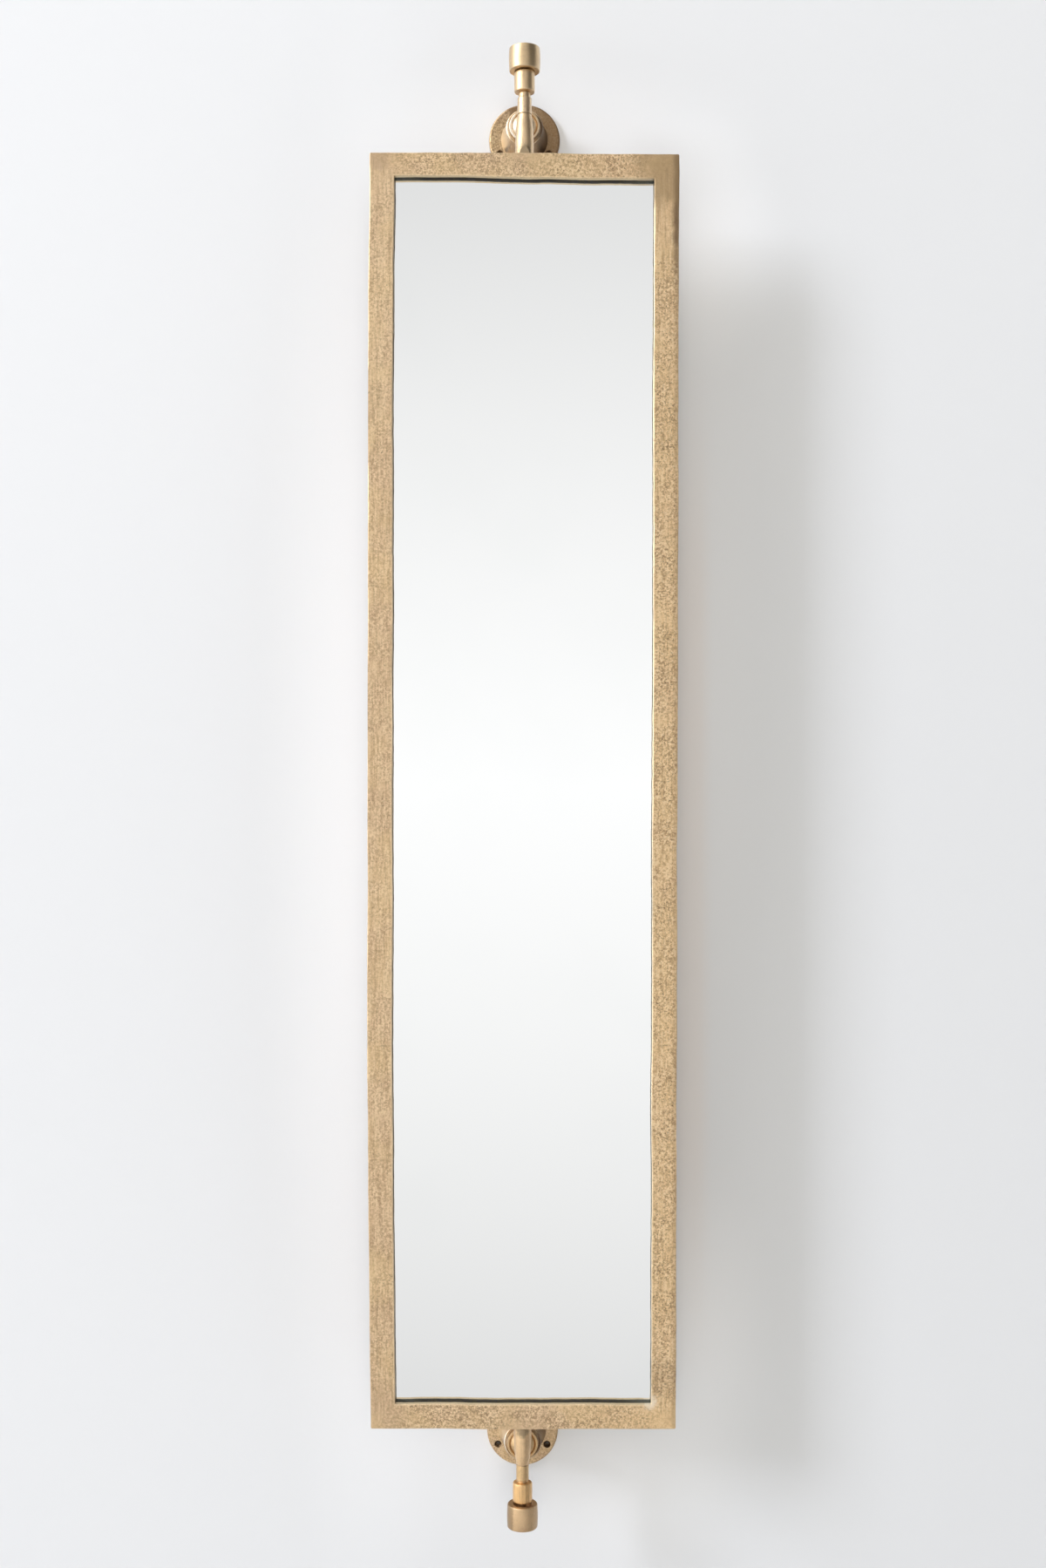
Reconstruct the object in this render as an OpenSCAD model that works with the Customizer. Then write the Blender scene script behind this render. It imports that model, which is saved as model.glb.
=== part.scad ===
// Tall pivoting wall mirror: a cast brass frame with a mirror in a deep recess, hung between two
// wall brackets on two pivot screws, so that it turns about a vertical line through its middle.
// Millimetres, +Z up, the front looks along -Y. The origin is the middle of the lower wall
// plate's back face, so the wall is the plane y = 0.

/* [Frame] */
// Outer width of the frame
frame_w = 390; // [280:10:600]
// Outer height of the frame
frame_h = 1595; // [900:1:2000]
// Depth of the frame bars, front to back
frame_d = 24; // [24:1:36]
// Width of a frame bar's face
bar_w = 31; // [25:1:60]
// Depth of the recess from the frame's face to the lip's back
lip_d = 12; // [6:1:14]
// How far the rebate cuts into a bar behind the lip
rebate_w = 8; // [6:0.5:12]

/* [Glazing] */
// Thickness of the mirror glass
glass_t = 5; // [3:1:6]
// Free space between the glass's edge and the rebate's wall
edge_gap = 1.5; // [0.5:0.5:3]
// Thickness of the black seal between lip and glass
seal_t = 1; // [0.5:0.5:2]
// How far the seal's bead stands in from the bars' inner walls
seal_show = 1.2; // [0.4:0.2:3]
// Height of the bead on the inner walls, above the seal
bead_h = 5; // [1:0.5:6]
// Length of a setting block under the glass
block_l = 40; // [20:5:80]
// Distance of a setting block's middle from the frame's middle
block_x = 80; // [50:5:110]

/* [Retaining clips] */
// Clips along each side of the frame
side_clips = 3; // [2:1:6]
// Distance of the outermost clips from the frame's ends
clip_inset = 190; // [80:10:300]
// Width of a clip
clip_w = 13; // [11:1:20]
// Reach of a clip past its screw, over the backing board
clip_reach = 18; // [13:1:30]
// Thickness of a clip
clip_t = 1.6; // [1:0.2:3]
// Distance of a clip's screw from the rebate
clip_back = 8; // [7:1:12]
// Radius of a clip screw's shank
clip_screw_r = 2; // [1.5:0.25:2.5]
// Length of a clip screw under its head
clip_screw_l = 9; // [6:1:12]
// Radius of a clip screw's head
clip_head_r = 3.8; // [3.2:0.2:5]
// Height of a clip screw's head
clip_head_h = 2.2; // [1.5:0.1:3]

/* [Wall brackets] */
// Distance of the pivot line from the wall
reach = 135; // [110:1:180]
// Radius of a wall plate
plate_r = 47; // [45:1:70]
// Thickness of a wall plate
plate_t = 8; // [7:0.5:12]
// Roundness of a wall plate's front edge
plate_edge = 2.5; // [1:0.5:3]
// Screw holes in a wall plate
screw_holes = 3; // [3:1:6]
// Radius of the circle of screw holes
hole_circle_r = 37.5; // [37:0.5:40]
// Radius of a screw hole
screw_hole_r = 2.6; // [2:0.1:3.2]
// Radius of a screw hole's countersink at the face
countersink_r = 4.9; // [4:0.1:5.5]
// Radius of the bell where it meets the wall plate
bell_foot_r = 31; // [28:0.5:31.5]
// Radius of the bell's lip
bell_lip_r = 24.2; // [22:0.2:26]
// Height of the bell above the wall plate
bell_h = 42.5; // [30:0.5:55]
// Wall thickness of the bell
bell_wall = 4; // [2.5:0.5:5]
// Width of the bell's rolled lip
bell_lip_w = 2.6; // [1.5:0.1:3]
// Depth of the seat inside the bell's lip
bell_seat = 3.5; // [2:0.5:6]
// Thickness of the bell's floor under the seat
bell_floor = 6; // [4:0.5:10]
// Height of the arm's round foot above its seat
foot_h = 10.5; // [8:0.5:14]
// Radius of the arm's dome
dome_r = 16.4; // [13:0.2:17]
// Height of the arm's dome
dome_h = 9; // [5:0.5:14]
// Gap between the bell's lip and the arm's foot
foot_gap = 1.6; // [0.3:0.1:2.5]
// Bevel on the front edge of the arm's foot
foot_bevel = 1; // [0.4:0.2:1.6]
// Depth of the groove around the dome
groove_d = 1.5; // [0.5:0.5:3]
// Radius of the arm at its dome
arm_r = 9; // [8:0.5:12]
// Radius of the arm at its eye
arm_tip_r = 7; // [5:0.5:7.5]
// How far the arm falls from the wall plate's middle to its eye
arm_fall = 5.4; // [0:0.2:7]
// Radius of the arm bolt's shank
bolt_r = 5; // [4:0.5:6]
// Radius of the arm bolt's head
bolt_head_r = 8.5; // [7.5:0.5:11]
// Height of the arm bolt's head
bolt_head_h = 4.6; // [3:0.2:5]
// Length of the arm bolt's thread inside the arm's foot
bolt_grip = 14; // [8:1:16]
// Width across the flats of the arm bolt's socket
socket_w = 6; // [4:1:8]
// Depth of the arm bolt's socket
socket_d = 3; // [2:0.5:4]

/* [Pivot screws] */
// Radius of a pivot screw's plain journal
journal_r = 4; // [3:0.25:4.5]
// Wall thickness of the nylon bush on the journal
bush_wall = 1.6; // [1:0.1:2]
// Length of the nylon bush
bush_l = 15; // [10:1:25]
// How much larger the screw's thread is than the bush
thread_step = 0.35; // [0.2:0.05:0.5]
// Height of the peened head that keeps the bush on the journal
peen_h = 1.5; // [1:0.5:3]
// Radius of the stud that carries the collar and the cap
stud_r = 5; // [4:0.5:5.5]
// Thickness of the washer between frame and eye
washer_t = 1; // [0.5:0.5:2]
// How much smaller the washer is than the eye
washer_step = 0.5; // [0:0.1:1]
// Depth of the hollow in a cap
cap_hollow = 7; // [3:0.5:9]
// How much narrower the cap's hollow is than its collar
hollow_step = 0.6; // [0:0.2:2]
// Roundness of a cap's edges
cap_edge = 1.4; // [0.6:0.2:3]
// Bulge of a cap's side
cap_bulge = 0.5; // [0:0.1:1.5]
// Bevel on a collar's ends
collar_bevel = 1.6; // [0.5:0.1:2]
// Length over which a pivot stub swells from its tip to its full width
taper_l = 37; // [20:1:44]
// Height of the ground facet at a pivot stub's foot
facet_h = 9; // [4:0.5:14]
// Depth of the ground facet at a pivot stub's foot
facet_d = 2; // [0.5:0.25:3]

/* [Upper pivot] */
// Length of the upper pivot stub
upper_stub_l = 50.7; // [40:0.1:70]
// Radius of the upper pivot stub at its foot
upper_stub_r = 11.6; // [10.6:0.1:12]
// Radius of the upper arm's eye
upper_eye_r = 8.9; // [7.9:0.1:10]
// Height of the upper arm's eye
upper_eye_h = 20.2; // [17:0.1:26]
// Radius of the upper screw's neck
upper_neck_r = 7.4; // [6.8:0.1:7.8]
// Length of the upper screw's neck
upper_neck_h = 7.1; // [2:0.1:12]
// Radius of the upper collar
upper_collar_r = 12.9; // [11:0.1:14]
// Height of the upper collar
upper_collar_h = 25.7; // [15:0.1:35]
// Gap between the upper collar and its cap
upper_cap_gap = 0.8; // [0.3:0.1:4]
// Radius of the upper cap
upper_cap_r = 20; // [17:0.1:25]
// Height of the upper cap
upper_cap_h = 29.5; // [20:0.5:40]

/* [Lower pivot] */
// Length of the lower pivot stub
lower_stub_l = 47.4; // [40:0.1:70]
// Radius of the lower pivot stub at its foot
lower_stub_r = 11; // [10:0.1:12]
// Radius of the lower arm's eye
lower_eye_r = 7.9; // [7.4:0.1:10]
// Height of the lower arm's eye
lower_eye_h = 18.4; // [17:0.1:26]
// Radius of the lower screw's neck
lower_neck_r = 7.1; // [6.6:0.1:7.4]
// Length of the lower screw's neck
lower_neck_h = 3; // [2:0.1:12]
// Radius of the lower collar
lower_collar_r = 12.3; // [11:0.1:14]
// Height of the lower collar
lower_collar_h = 24.3; // [15:0.1:35]
// Gap between the lower collar and its cap
lower_cap_gap = 2.8; // [0.3:0.1:4]
// Radius of the lower cap
lower_cap_r = 19.6; // [17:0.1:25]
// Height of the lower cap
lower_cap_h = 29.5; // [20:0.5:40]

/* [Clearances] */
// Gap between pieces that turn past each other face to face
face_gap = 0.3; // [0.1:0.05:0.5]
// Gap on the radius between a screw or pin and its hole
run_gap = 0.05; // [0.02:0.01:0.1]

/* [Hidden] */
$fn = 96;

// The frame, front to back and bottom to top
front_y = -reach - frame_d / 2;
back_y = -reach + frame_d / 2;
glass_y = front_y + lip_d + seal_t;
board_y = glass_y + glass_t;
frame_z = -arm_fall + lower_eye_h / 2 + face_gap + washer_t + lower_stub_l;
frame_top = frame_z + frame_h;
open_w = frame_w - 2 * bar_w;
open_h = frame_h - 2 * bar_w;
glass_w = open_w + 2 * (rebate_w - edge_gap);
glass_h = open_h + 2 * (rebate_w - edge_gap);
pocket_w = open_w + 2 * rebate_w;
pocket_h = open_h + 2 * rebate_w;

// The clips stand along the two sides, with one in the middle of the top and the bottom
clip_pitch = (frame_h - 2 * clip_inset) / (side_clips - 1);
clip_x = pocket_w / 2 + clip_back;
clip_z = pocket_h / 2 + clip_back;
frame_mid = frame_z + frame_h / 2;
clip_places = concat(
    [for (side = [-1, 1]) for (i = [0 : side_clips - 1])
        [side * clip_x, frame_z + clip_inset + i * clip_pitch, side < 0 ? 0 : 180]],
    [[0, frame_mid - clip_z, 90], [0, frame_mid + clip_z, -90]]);

// The bell and the arm's foot, as distances from the wall
lip_y = plate_t + bell_h;
seat_y = lip_y - bell_seat;
foot_r = bell_lip_r - bell_lip_w - foot_gap;
foot_front = seat_y + foot_h;
dome_floor = foot_front - groove_d;
dome_ball = (dome_r * dome_r + dome_h * dome_h) / (2 * dome_h);
arm_start = foot_front;
arm_tilt = atan(arm_fall / (reach - arm_start));
arm_l = (reach - arm_start) / cos(arm_tilt);

// The pivot screws: the bush passes through the eye's thread when a screw is taken out
bush_r = journal_r + run_gap + bush_wall;
stub_bore_r = bush_r + run_gap;
thread_r = bush_r + thread_step;
washer_hole_r = thread_r + face_gap;
peen_r = (journal_r + bush_r) / 2;
bush_top = washer_t + 2 * face_gap;
journal_l = bush_top + bush_l + face_gap + peen_h;
stub_bore_l = journal_l - face_gap - washer_t + 2;

// Heights of the brackets and of the two faces where frame and eyes meet
lower_z = 0;
lower_eye_z = lower_z - arm_fall;
lower_seam = lower_eye_z + lower_eye_h / 2;
upper_seam = frame_top + upper_stub_l + washer_t + face_gap;
upper_eye_z = upper_seam + upper_eye_h / 2;
upper_z = upper_eye_z + arm_fall;

CAST_BRASS = [0.78, 0.66, 0.48];
TURNED_BRASS = [0.84, 0.72, 0.52];
MIRROR = [0.88, 0.9, 0.91];
BLACK = [0.09, 0.09, 0.09];
BOARD = [0.42, 0.33, 0.24];
STEEL = [0.62, 0.62, 0.63];
NYLON = [0.9, 0.89, 0.84];

// Points of an arc about [x, y], in turning order
function arc(x, y, r, a0, a1, n = 6) =
    [for (i = [0 : n]) let (a = a0 + (a1 - a0) * i / n) [x + r * cos(a), y + r * sin(a)]];

// Places the children on the wall at a height, with their +Z pointing away from the wall
module on_wall(z) {
    translate([0, 0, z]) rotate([90, 0, 0]) children();
}

// Places the children on the pivot line, their +Z pointing out of the frame's end
module on_pivot(z, up) {
    translate([0, -reach, z]) mirror([0, 0, up ? 0 : 1]) children();
}

// ---- Frame -----------------------------------------------------------------------------

// A box in the frame, centred across it, from one depth to another
module slab(w, h, y0, y1) {
    translate([-w / 2, y0, frame_mid - h / 2]) cube([w, y1 - y0, h]);
}

// The welded frame before it is parted at the mitres, with the clip screws' tapped holes
module frame_ring() {
    difference() {
        slab(frame_w, frame_h, front_y, back_y);
        slab(open_w, open_h, front_y - 1, back_y + 1);
        slab(pocket_w, pocket_h, front_y + lip_d, back_y + 1);
        for (p = clip_places)
            translate([p[0], back_y + 1, p[1]]) rotate([90, 0, 0])
                cylinder(r = clip_screw_r + run_gap, h = clip_screw_l + 2 - clip_t);
    }
}

// The mitred wedge that one bar takes of the frame, as an outline seen from the front
module bar(points) {
    intersection() {
        frame_ring();
        translate([0, back_y + 1, frame_mid]) rotate([90, 0, 0])
            linear_extrude(frame_d + 2) polygon(points);
    }
}

module stile(side) {
    color(CAST_BRASS) bar([
        [side * frame_w / 2, -frame_h / 2], [side * open_w / 2, -open_h / 2],
        [side * open_w / 2, open_h / 2], [side * frame_w / 2, frame_h / 2]
    ]);
}

module rail(side) {
    color(CAST_BRASS) bar([
        [-frame_w / 2, side * frame_h / 2], [-open_w / 2, side * open_h / 2],
        [open_w / 2, side * open_h / 2], [frame_w / 2, side * frame_h / 2]
    ]);
}

module left_stile() stile(-1);
module right_stile() stile(1);
module top_rail() rail(1);
module bottom_rail() rail(-1);

// A pivot stub stands on a rail. It narrows to its tip in a long curve, is bored for the bush,
// and its foot is ground flat at the front to meet the frame's face.
module stub(len, foot, tip) {
    difference() {
        rotate_extrude() polygon(concat(
            [[0, 0], [foot, 0]],
            [for (i = [12 : -1 : 0]) let (t = i / 12)
                [tip + (foot - tip) * t * (2 - t), len - taper_l * t]],
            [[0, len]]));
        translate([0, 0, len - stub_bore_l]) cylinder(r = stub_bore_r, h = stub_bore_l + 1);
        translate([0, -foot, facet_h]) rotate([-atan(facet_d / facet_h), 0, 0])
            translate([-foot, -foot, -2 * facet_h]) cube([2 * foot, foot, 2 * facet_h]);
    }
}

module upper_stub() {
    color(CAST_BRASS) on_pivot(frame_top, true) stub(upper_stub_l, upper_stub_r, upper_eye_r);
}

module lower_stub() {
    color(CAST_BRASS) on_pivot(frame_z, false) stub(lower_stub_l, lower_stub_r, lower_eye_r);
}

// ---- Glazing ---------------------------------------------------------------------------

module mirror_glass() {
    color(MIRROR) slab(glass_w, glass_h, glass_y, board_y);
}

// The seal lies under the lip all round, and its bead climbs the bars' inner walls
module glass_seal() {
    lip_back = glass_y - seal_t;
    color(BLACK) difference() {
        union() {
            slab(glass_w, glass_h, lip_back, glass_y);
            slab(open_w, open_h, lip_back - bead_h, glass_y);
        }
        slab(open_w - 2 * seal_show, open_h - 2 * seal_show, lip_back - bead_h - 1, glass_y + 1);
    }
}

module setting_blocks() {
    color(BLACK) for (side = [-1, 1])
        translate([side * block_x - block_l / 2, glass_y, frame_mid - pocket_h / 2])
            cube([block_l, back_y - glass_y, edge_gap]);
}

module backing_board() {
    color(BOARD) slab(glass_w, glass_h, board_y, back_y);
}

// A clip is a flat tab with round ends, screwed to a bar and lying over the board's edge
module retaining_clips() {
    color(TURNED_BRASS) for (p = clip_places)
        translate([p[0], back_y, p[1]]) rotate([0, -p[2], 0]) rotate([-90, 0, 0]) difference() {
            union() {
                cylinder(r = clip_w / 2, h = clip_t);
                translate([0, -clip_w / 2, 0]) cube([clip_reach, clip_w, clip_t]);
                translate([clip_reach, 0, 0]) cylinder(r = clip_w / 2, h = clip_t);
            }
            translate([0, 0, -1]) cylinder(r = clip_screw_r + run_gap, h = clip_t + 2);
        }
}

module clip_screws() {
    color(STEEL) for (p = clip_places)
        translate([p[0], back_y + clip_t, p[1]]) rotate([-90, 0, 0]) {
            translate([0, 0, -clip_screw_l]) cylinder(r = clip_screw_r, h = clip_screw_l + 0.5);
            difference() {
                cylinder(r1 = clip_head_r, r2 = clip_head_r - 0.6, h = clip_head_h);
                translate([-clip_head_r, -0.4, clip_head_h - 1]) cube([2 * clip_head_r, 0.8, 2]);
            }
        }
}

// ---- Wall brackets ---------------------------------------------------------------------

module wall_plate() {
    color(CAST_BRASS) difference() {
        rotate_extrude() polygon(concat(
            [[0, 0], [plate_r, 0]],
            arc(plate_r - plate_edge, plate_t - plate_edge, plate_edge, 0, 90),
            [[0, plate_t]]));
        translate([0, 0, -1]) cylinder(r = bolt_r + face_gap, h = plate_t + 2);
        translate([0, 0, -1]) cylinder(r = bolt_head_r + face_gap, h = bolt_head_h + 1);
        for (i = [0 : screw_holes - 1])
            rotate([0, 0, 90 + i * 360 / screw_holes]) translate([hole_circle_r, 0, 0]) {
                translate([0, 0, -1]) cylinder(r = screw_hole_r, h = plate_t + 2);
                translate([0, 0, plate_t - (countersink_r - screw_hole_r)])
                    cylinder(r1 = screw_hole_r, r2 = countersink_r + 0.5,
                             h = countersink_r - screw_hole_r + 0.5);
            }
    }
}

// Radius of the bell's outside at a share t of its height
function bell_radius(t) = bell_lip_r + (bell_foot_r - bell_lip_r) * pow(1 - t, 1.8);

// The bell is a turned hollow cup on the plate. Its rolled lip surrounds the arm's foot.
module bell() {
    steps = 8;
    roll = bell_lip_w / 2;
    inside_h = bell_h - bell_seat - bell_floor;
    color(TURNED_BRASS) rotate_extrude() polygon(concat(
        [for (i = [0 : steps])
            [bell_radius(i / steps), plate_t + (bell_h - roll) * i / steps]],
        arc(bell_lip_r - roll, lip_y - roll, roll, 0, 180, 8),
        [[bell_lip_r - bell_lip_w, seat_y], [bolt_r + face_gap, seat_y],
         [bolt_r + face_gap, seat_y - bell_floor]],
        [for (i = [steps : -1 : 0])
            [bell_radius(i / steps * inside_h / bell_h) - bell_wall,
             plate_t + inside_h * i / steps]]));
}

// The bolt holds arm, bell and plate together from behind
module arm_bolt() {
    shank_end = seat_y + bolt_grip;
    color(STEEL) difference() {
        union() {
            cylinder(r = bolt_head_r, h = bolt_head_h);
            cylinder(r = bolt_r, h = shank_end);
        }
        translate([0, 0, -1]) cylinder(r = socket_w / sqrt(3), h = socket_d + 1, $fn = 6);
    }
}

// The arm's foot sits in the bell: a rim, a groove and a dome, from which the rod rises
module arm_foot() {
    rotate_extrude() polygon(concat(
        [[0, seat_y], [foot_r, seat_y], [foot_r, foot_front - foot_bevel],
         [foot_r - foot_bevel, foot_front],
         [dome_r + 0.4, foot_front], [dome_r, dome_floor]],
        [for (i = [1 : 8]) let (a = asin(dome_r / dome_ball) * (1 - i / 8))
            [dome_ball * sin(a), dome_floor + dome_h + dome_ball * (cos(a) - 1)]]));
}

module arm(z, eye_z, eye_r, eye_h) {
    color(TURNED_BRASS) difference() {
        union() {
            on_wall(z) arm_foot();
            translate([0, -arm_start, z]) rotate([90 + arm_tilt, 0, 0])
                cylinder(r1 = arm_r, r2 = arm_tip_r, h = arm_l);
            translate([0, -reach, eye_z - eye_h / 2]) cylinder(r = eye_r, h = eye_h);
        }
        translate([0, -reach, eye_z - eye_h]) cylinder(r = thread_r + run_gap, h = 2 * eye_h);
        on_wall(z) translate([0, 0, seat_y - 1])
            cylinder(r = bolt_r + run_gap, h = bolt_grip + 1.5);
    }
}

module upper_wall_plate() on_wall(upper_z) wall_plate();
module lower_wall_plate() on_wall(lower_z) wall_plate();
module upper_bell() on_wall(upper_z) bell();
module lower_bell() on_wall(lower_z) bell();
module upper_arm_bolt() on_wall(upper_z) arm_bolt();
module lower_arm_bolt() on_wall(lower_z) arm_bolt();
module upper_arm() arm(upper_z, upper_eye_z, upper_eye_r, upper_eye_h);
module lower_arm() arm(lower_z, lower_eye_z, lower_eye_r, lower_eye_h);

// ---- Pivot screws: each is drawn from its seam outwards ----------------------------------

module washer(eye_r) {
    color(TURNED_BRASS) difference() {
        cylinder(r = eye_r - washer_step, h = washer_t);
        translate([0, 0, -1]) cylinder(r = washer_hole_r, h = washer_t + 2);
    }
}

module bush() {
    color(NYLON) translate([0, 0, -bush_top - bush_l]) difference() {
        cylinder(r = bush_r, h = bush_l);
        translate([0, 0, -1]) cylinder(r = journal_r + run_gap, h = bush_l + 2);
    }
}

// The screw: peened tip, journal, thread in the eye, neck, and the stud for collar and cap
module pivot_pin(eye_h, neck_r, neck_h, collar_h, cap_gap) {
    stud_l = collar_h + cap_gap + cap_hollow + 10;
    color(TURNED_BRASS) {
        translate([0, 0, -journal_l]) cylinder(r = peen_r, h = peen_h);
        translate([0, 0, -journal_l]) cylinder(r = journal_r, h = journal_l + 1);
        cylinder(r = thread_r, h = eye_h);
        translate([0, 0, eye_h]) cylinder(r = neck_r, h = neck_h);
        translate([0, 0, eye_h]) cylinder(r = stud_r, h = neck_h + stud_l);
    }
}

module collar(r, h) {
    color(TURNED_BRASS) rotate_extrude() polygon([
        [stud_r + run_gap, 0], [r - collar_bevel, 0], [r, collar_bevel],
        [r, h - collar_bevel], [r - collar_bevel, h], [stud_r + run_gap, h]
    ]);
}

// The cap is a turned knob: slightly barrelled, hollow underneath, with a blind hole for the stud
module cap(r, h, collar_r) {
    hollow_r = collar_r - hollow_step;
    hole_l = cap_hollow + 10.5;
    color(TURNED_BRASS) rotate_extrude() polygon(concat(
        [[hollow_r, 0]],
        arc(r - cap_edge - cap_bulge, cap_edge, cap_edge, -90, 0),
        [for (i = [1 : 7])
            [r - cap_bulge * pow(2 * i / 8 - 1, 2), cap_edge + (h - 2 * cap_edge) * i / 8]],
        arc(r - cap_edge - cap_bulge, h - cap_edge, cap_edge, 0, 90),
        [[0, h], [0, hole_l], [stud_r + run_gap, hole_l], [stud_r + run_gap, cap_hollow],
         [hollow_r, cap_hollow]]));
}

module upper_washer() on_pivot(frame_top + upper_stub_l, true) washer(upper_eye_r);
module lower_washer() on_pivot(lower_seam + washer_t, false) washer(lower_eye_r);
module upper_bush() on_pivot(upper_seam, true) bush();
module lower_bush() on_pivot(lower_seam, false) bush();

module upper_pivot_pin() {
    on_pivot(upper_seam, true)
        pivot_pin(upper_eye_h, upper_neck_r, upper_neck_h, upper_collar_h, upper_cap_gap);
}

module lower_pivot_pin() {
    on_pivot(lower_seam, false)
        pivot_pin(lower_eye_h, lower_neck_r, lower_neck_h, lower_collar_h, lower_cap_gap);
}

module upper_collar() {
    on_pivot(upper_seam + upper_eye_h + upper_neck_h, true) collar(upper_collar_r, upper_collar_h);
}

module lower_collar() {
    on_pivot(lower_seam - lower_eye_h - lower_neck_h, false) collar(lower_collar_r, lower_collar_h);
}

module upper_cap() {
    on_pivot(upper_seam + upper_eye_h + upper_neck_h + upper_collar_h + upper_cap_gap, true)
        cap(upper_cap_r, upper_cap_h, upper_collar_r);
}

module lower_cap() {
    on_pivot(lower_seam - lower_eye_h - lower_neck_h - lower_collar_h - lower_cap_gap, false)
        cap(lower_cap_r, lower_cap_h, lower_collar_r);
}

left_stile();
right_stile();
top_rail();
bottom_rail();
upper_stub();
lower_stub();
mirror_glass();
glass_seal();
setting_blocks();
backing_board();
retaining_clips();
clip_screws();
upper_wall_plate();
upper_bell();
upper_arm_bolt();
upper_arm();
upper_washer();
upper_bush();
upper_pivot_pin();
upper_collar();
upper_cap();
lower_wall_plate();
lower_bell();
lower_arm_bolt();
lower_arm();
lower_washer();
lower_bush();
lower_pivot_pin();
lower_collar();
lower_cap();
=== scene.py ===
"""Finishes of a tall pivoting wall mirror: a cast brass frame that hangs between two wall brackets
and turns about a vertical line. Metres, +Z up, the mirror looks along -Y, the wall is y = 0."""

from math import atan, atan2, copysign, cos, degrees, hypot, pi, radians, sin

import bmesh
import bpy
from mathutils import Matrix, Vector, noise


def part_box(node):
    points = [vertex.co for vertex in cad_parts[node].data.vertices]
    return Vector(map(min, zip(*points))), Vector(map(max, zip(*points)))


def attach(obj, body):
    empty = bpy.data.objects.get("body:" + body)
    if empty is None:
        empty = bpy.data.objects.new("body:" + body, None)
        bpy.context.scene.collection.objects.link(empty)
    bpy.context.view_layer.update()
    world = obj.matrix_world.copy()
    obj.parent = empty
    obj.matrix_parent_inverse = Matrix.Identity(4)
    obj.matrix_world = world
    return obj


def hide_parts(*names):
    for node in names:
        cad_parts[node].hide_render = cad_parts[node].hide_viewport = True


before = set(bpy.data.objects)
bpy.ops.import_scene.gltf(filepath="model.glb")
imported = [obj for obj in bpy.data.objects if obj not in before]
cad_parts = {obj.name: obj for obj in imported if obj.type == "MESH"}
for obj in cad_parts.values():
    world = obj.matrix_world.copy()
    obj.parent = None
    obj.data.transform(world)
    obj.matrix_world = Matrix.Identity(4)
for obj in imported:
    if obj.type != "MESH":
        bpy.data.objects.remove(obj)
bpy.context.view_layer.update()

# ---- Frame bars ---------------------------------------------------------------------------
# Two stiles and two rails, sand-cast in brass, mitred, welded and ground flush at the corners.
# A lip at the front holds the glass, and the antique finish is rubbed back to bright high spots.

LIP = 0.012            # the lip's thickness, front to back
REBATE = 0.008         # how far the rebate cuts in behind the lip
CORNER = 0.0018        # roundness of the frame's four corners
ARRIS = 0.0011         # roundness of the long edges
CAST_LONG = 0.0063     # spacing of the mesh along the bars
CAST_WIDE = 0.0029     # and across them
SWELL = 0.0009         # how far the hand-finished edges wander
RIPPLE = 0.00022       # small unevenness of the casting
LEFT_BOW = (0.0044, 0.2, 0.0012)    # the left stile's bow: its depth, its top's height, its start
RIGHT_LEAN = (0.0026, 0.0009)       # how far the right stile stands in, and more at its foot
TOP_DROP = 0.0014      # how far the top rail's right half hangs lower
TOP_THIN = 0.0020      # how much narrower its left half is, at its inner edge

outer_low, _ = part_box("left_stile")
_, outer_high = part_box("right_stile")
bar_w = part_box("left_stile")[1].x - outer_low.x
face_y, back_y = outer_low.y, outer_high.y
middle = Vector((0, 0, (outer_low.z + outer_high.z) / 2))
half_w = outer_high.x
half_h = (outer_high.z - outer_low.z) / 2


class Wire:
    """The output of a material's node. Sums written with it become Math nodes."""

    def __init__(self, tree, socket=None):
        self.tree = tree
        self.socket = socket

    def node(self, kind, sockets=None, output=0, **settings):
        """Adds a node, with its settings and then the values or wires of its sockets."""
        made = self.tree.nodes.new(kind)
        for name, value in settings.items():
            setattr(made, name, value)
        for name, value in (sockets or {}).items():
            if isinstance(value, Wire):
                self.tree.links.new(value.socket, made.inputs[name])
            else:
                made.inputs[name].default_value = value
        return Wire(self.tree, made.outputs[output])

    def sum(self, operation, first, second):
        return self.node("ShaderNodeMath", {0: first, 1: second}, operation=operation)

    def __add__(self, other):
        return self.sum("ADD", self, other)

    def __sub__(self, other):
        return self.sum("SUBTRACT", self, other)

    def __rsub__(self, other):
        return self.sum("SUBTRACT", other, self)

    def __mul__(self, other):
        return self.sum("MULTIPLY", self, other)

    def __abs__(self):
        return self.sum("ABSOLUTE", self, 0)

    def at_most(self, other):
        return self.sum("MINIMUM", self, other)

    def at_least(self, other):
        return self.sum("MAXIMUM", self, other)

    __radd__ = __add__
    __rmul__ = __mul__


def ramp(value, low, high):
    """0 where value is at low, 1 where it is at high, and smooth between."""
    return value.node("ShaderNodeMapRange", {"Value": value, "From Min": low, "From Max": high},
                      interpolation_type="SMOOTHSTEP")


def cloud(place, size, detail=2.0, rough=0.5):
    """Soft noise from 0 to 1, with patches about as large as size."""
    return place.node("ShaderNodeTexNoise", {"Vector": place, "Scale": 1 / size, "Detail": detail,
                                             "Roughness": rough})


def stretch(place, x, y, z):
    """The same place with its three directions scaled, for a pattern that runs one way."""
    return place.node("ShaderNodeVectorMath", {0: place, 1: (x, y, z)}, operation="MULTIPLY")


def tint(mask, below, above):
    """One colour where the mask is 0, the other where it is 1."""
    sockets = {0: mask}
    for index, colour in ((6, below), (7, above)):
        sockets[index] = colour if isinstance(colour, Wire) else (*colour, 1)
    return mask.node("ShaderNodeMix", sockets, output=2, data_type="RGBA")


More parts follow.
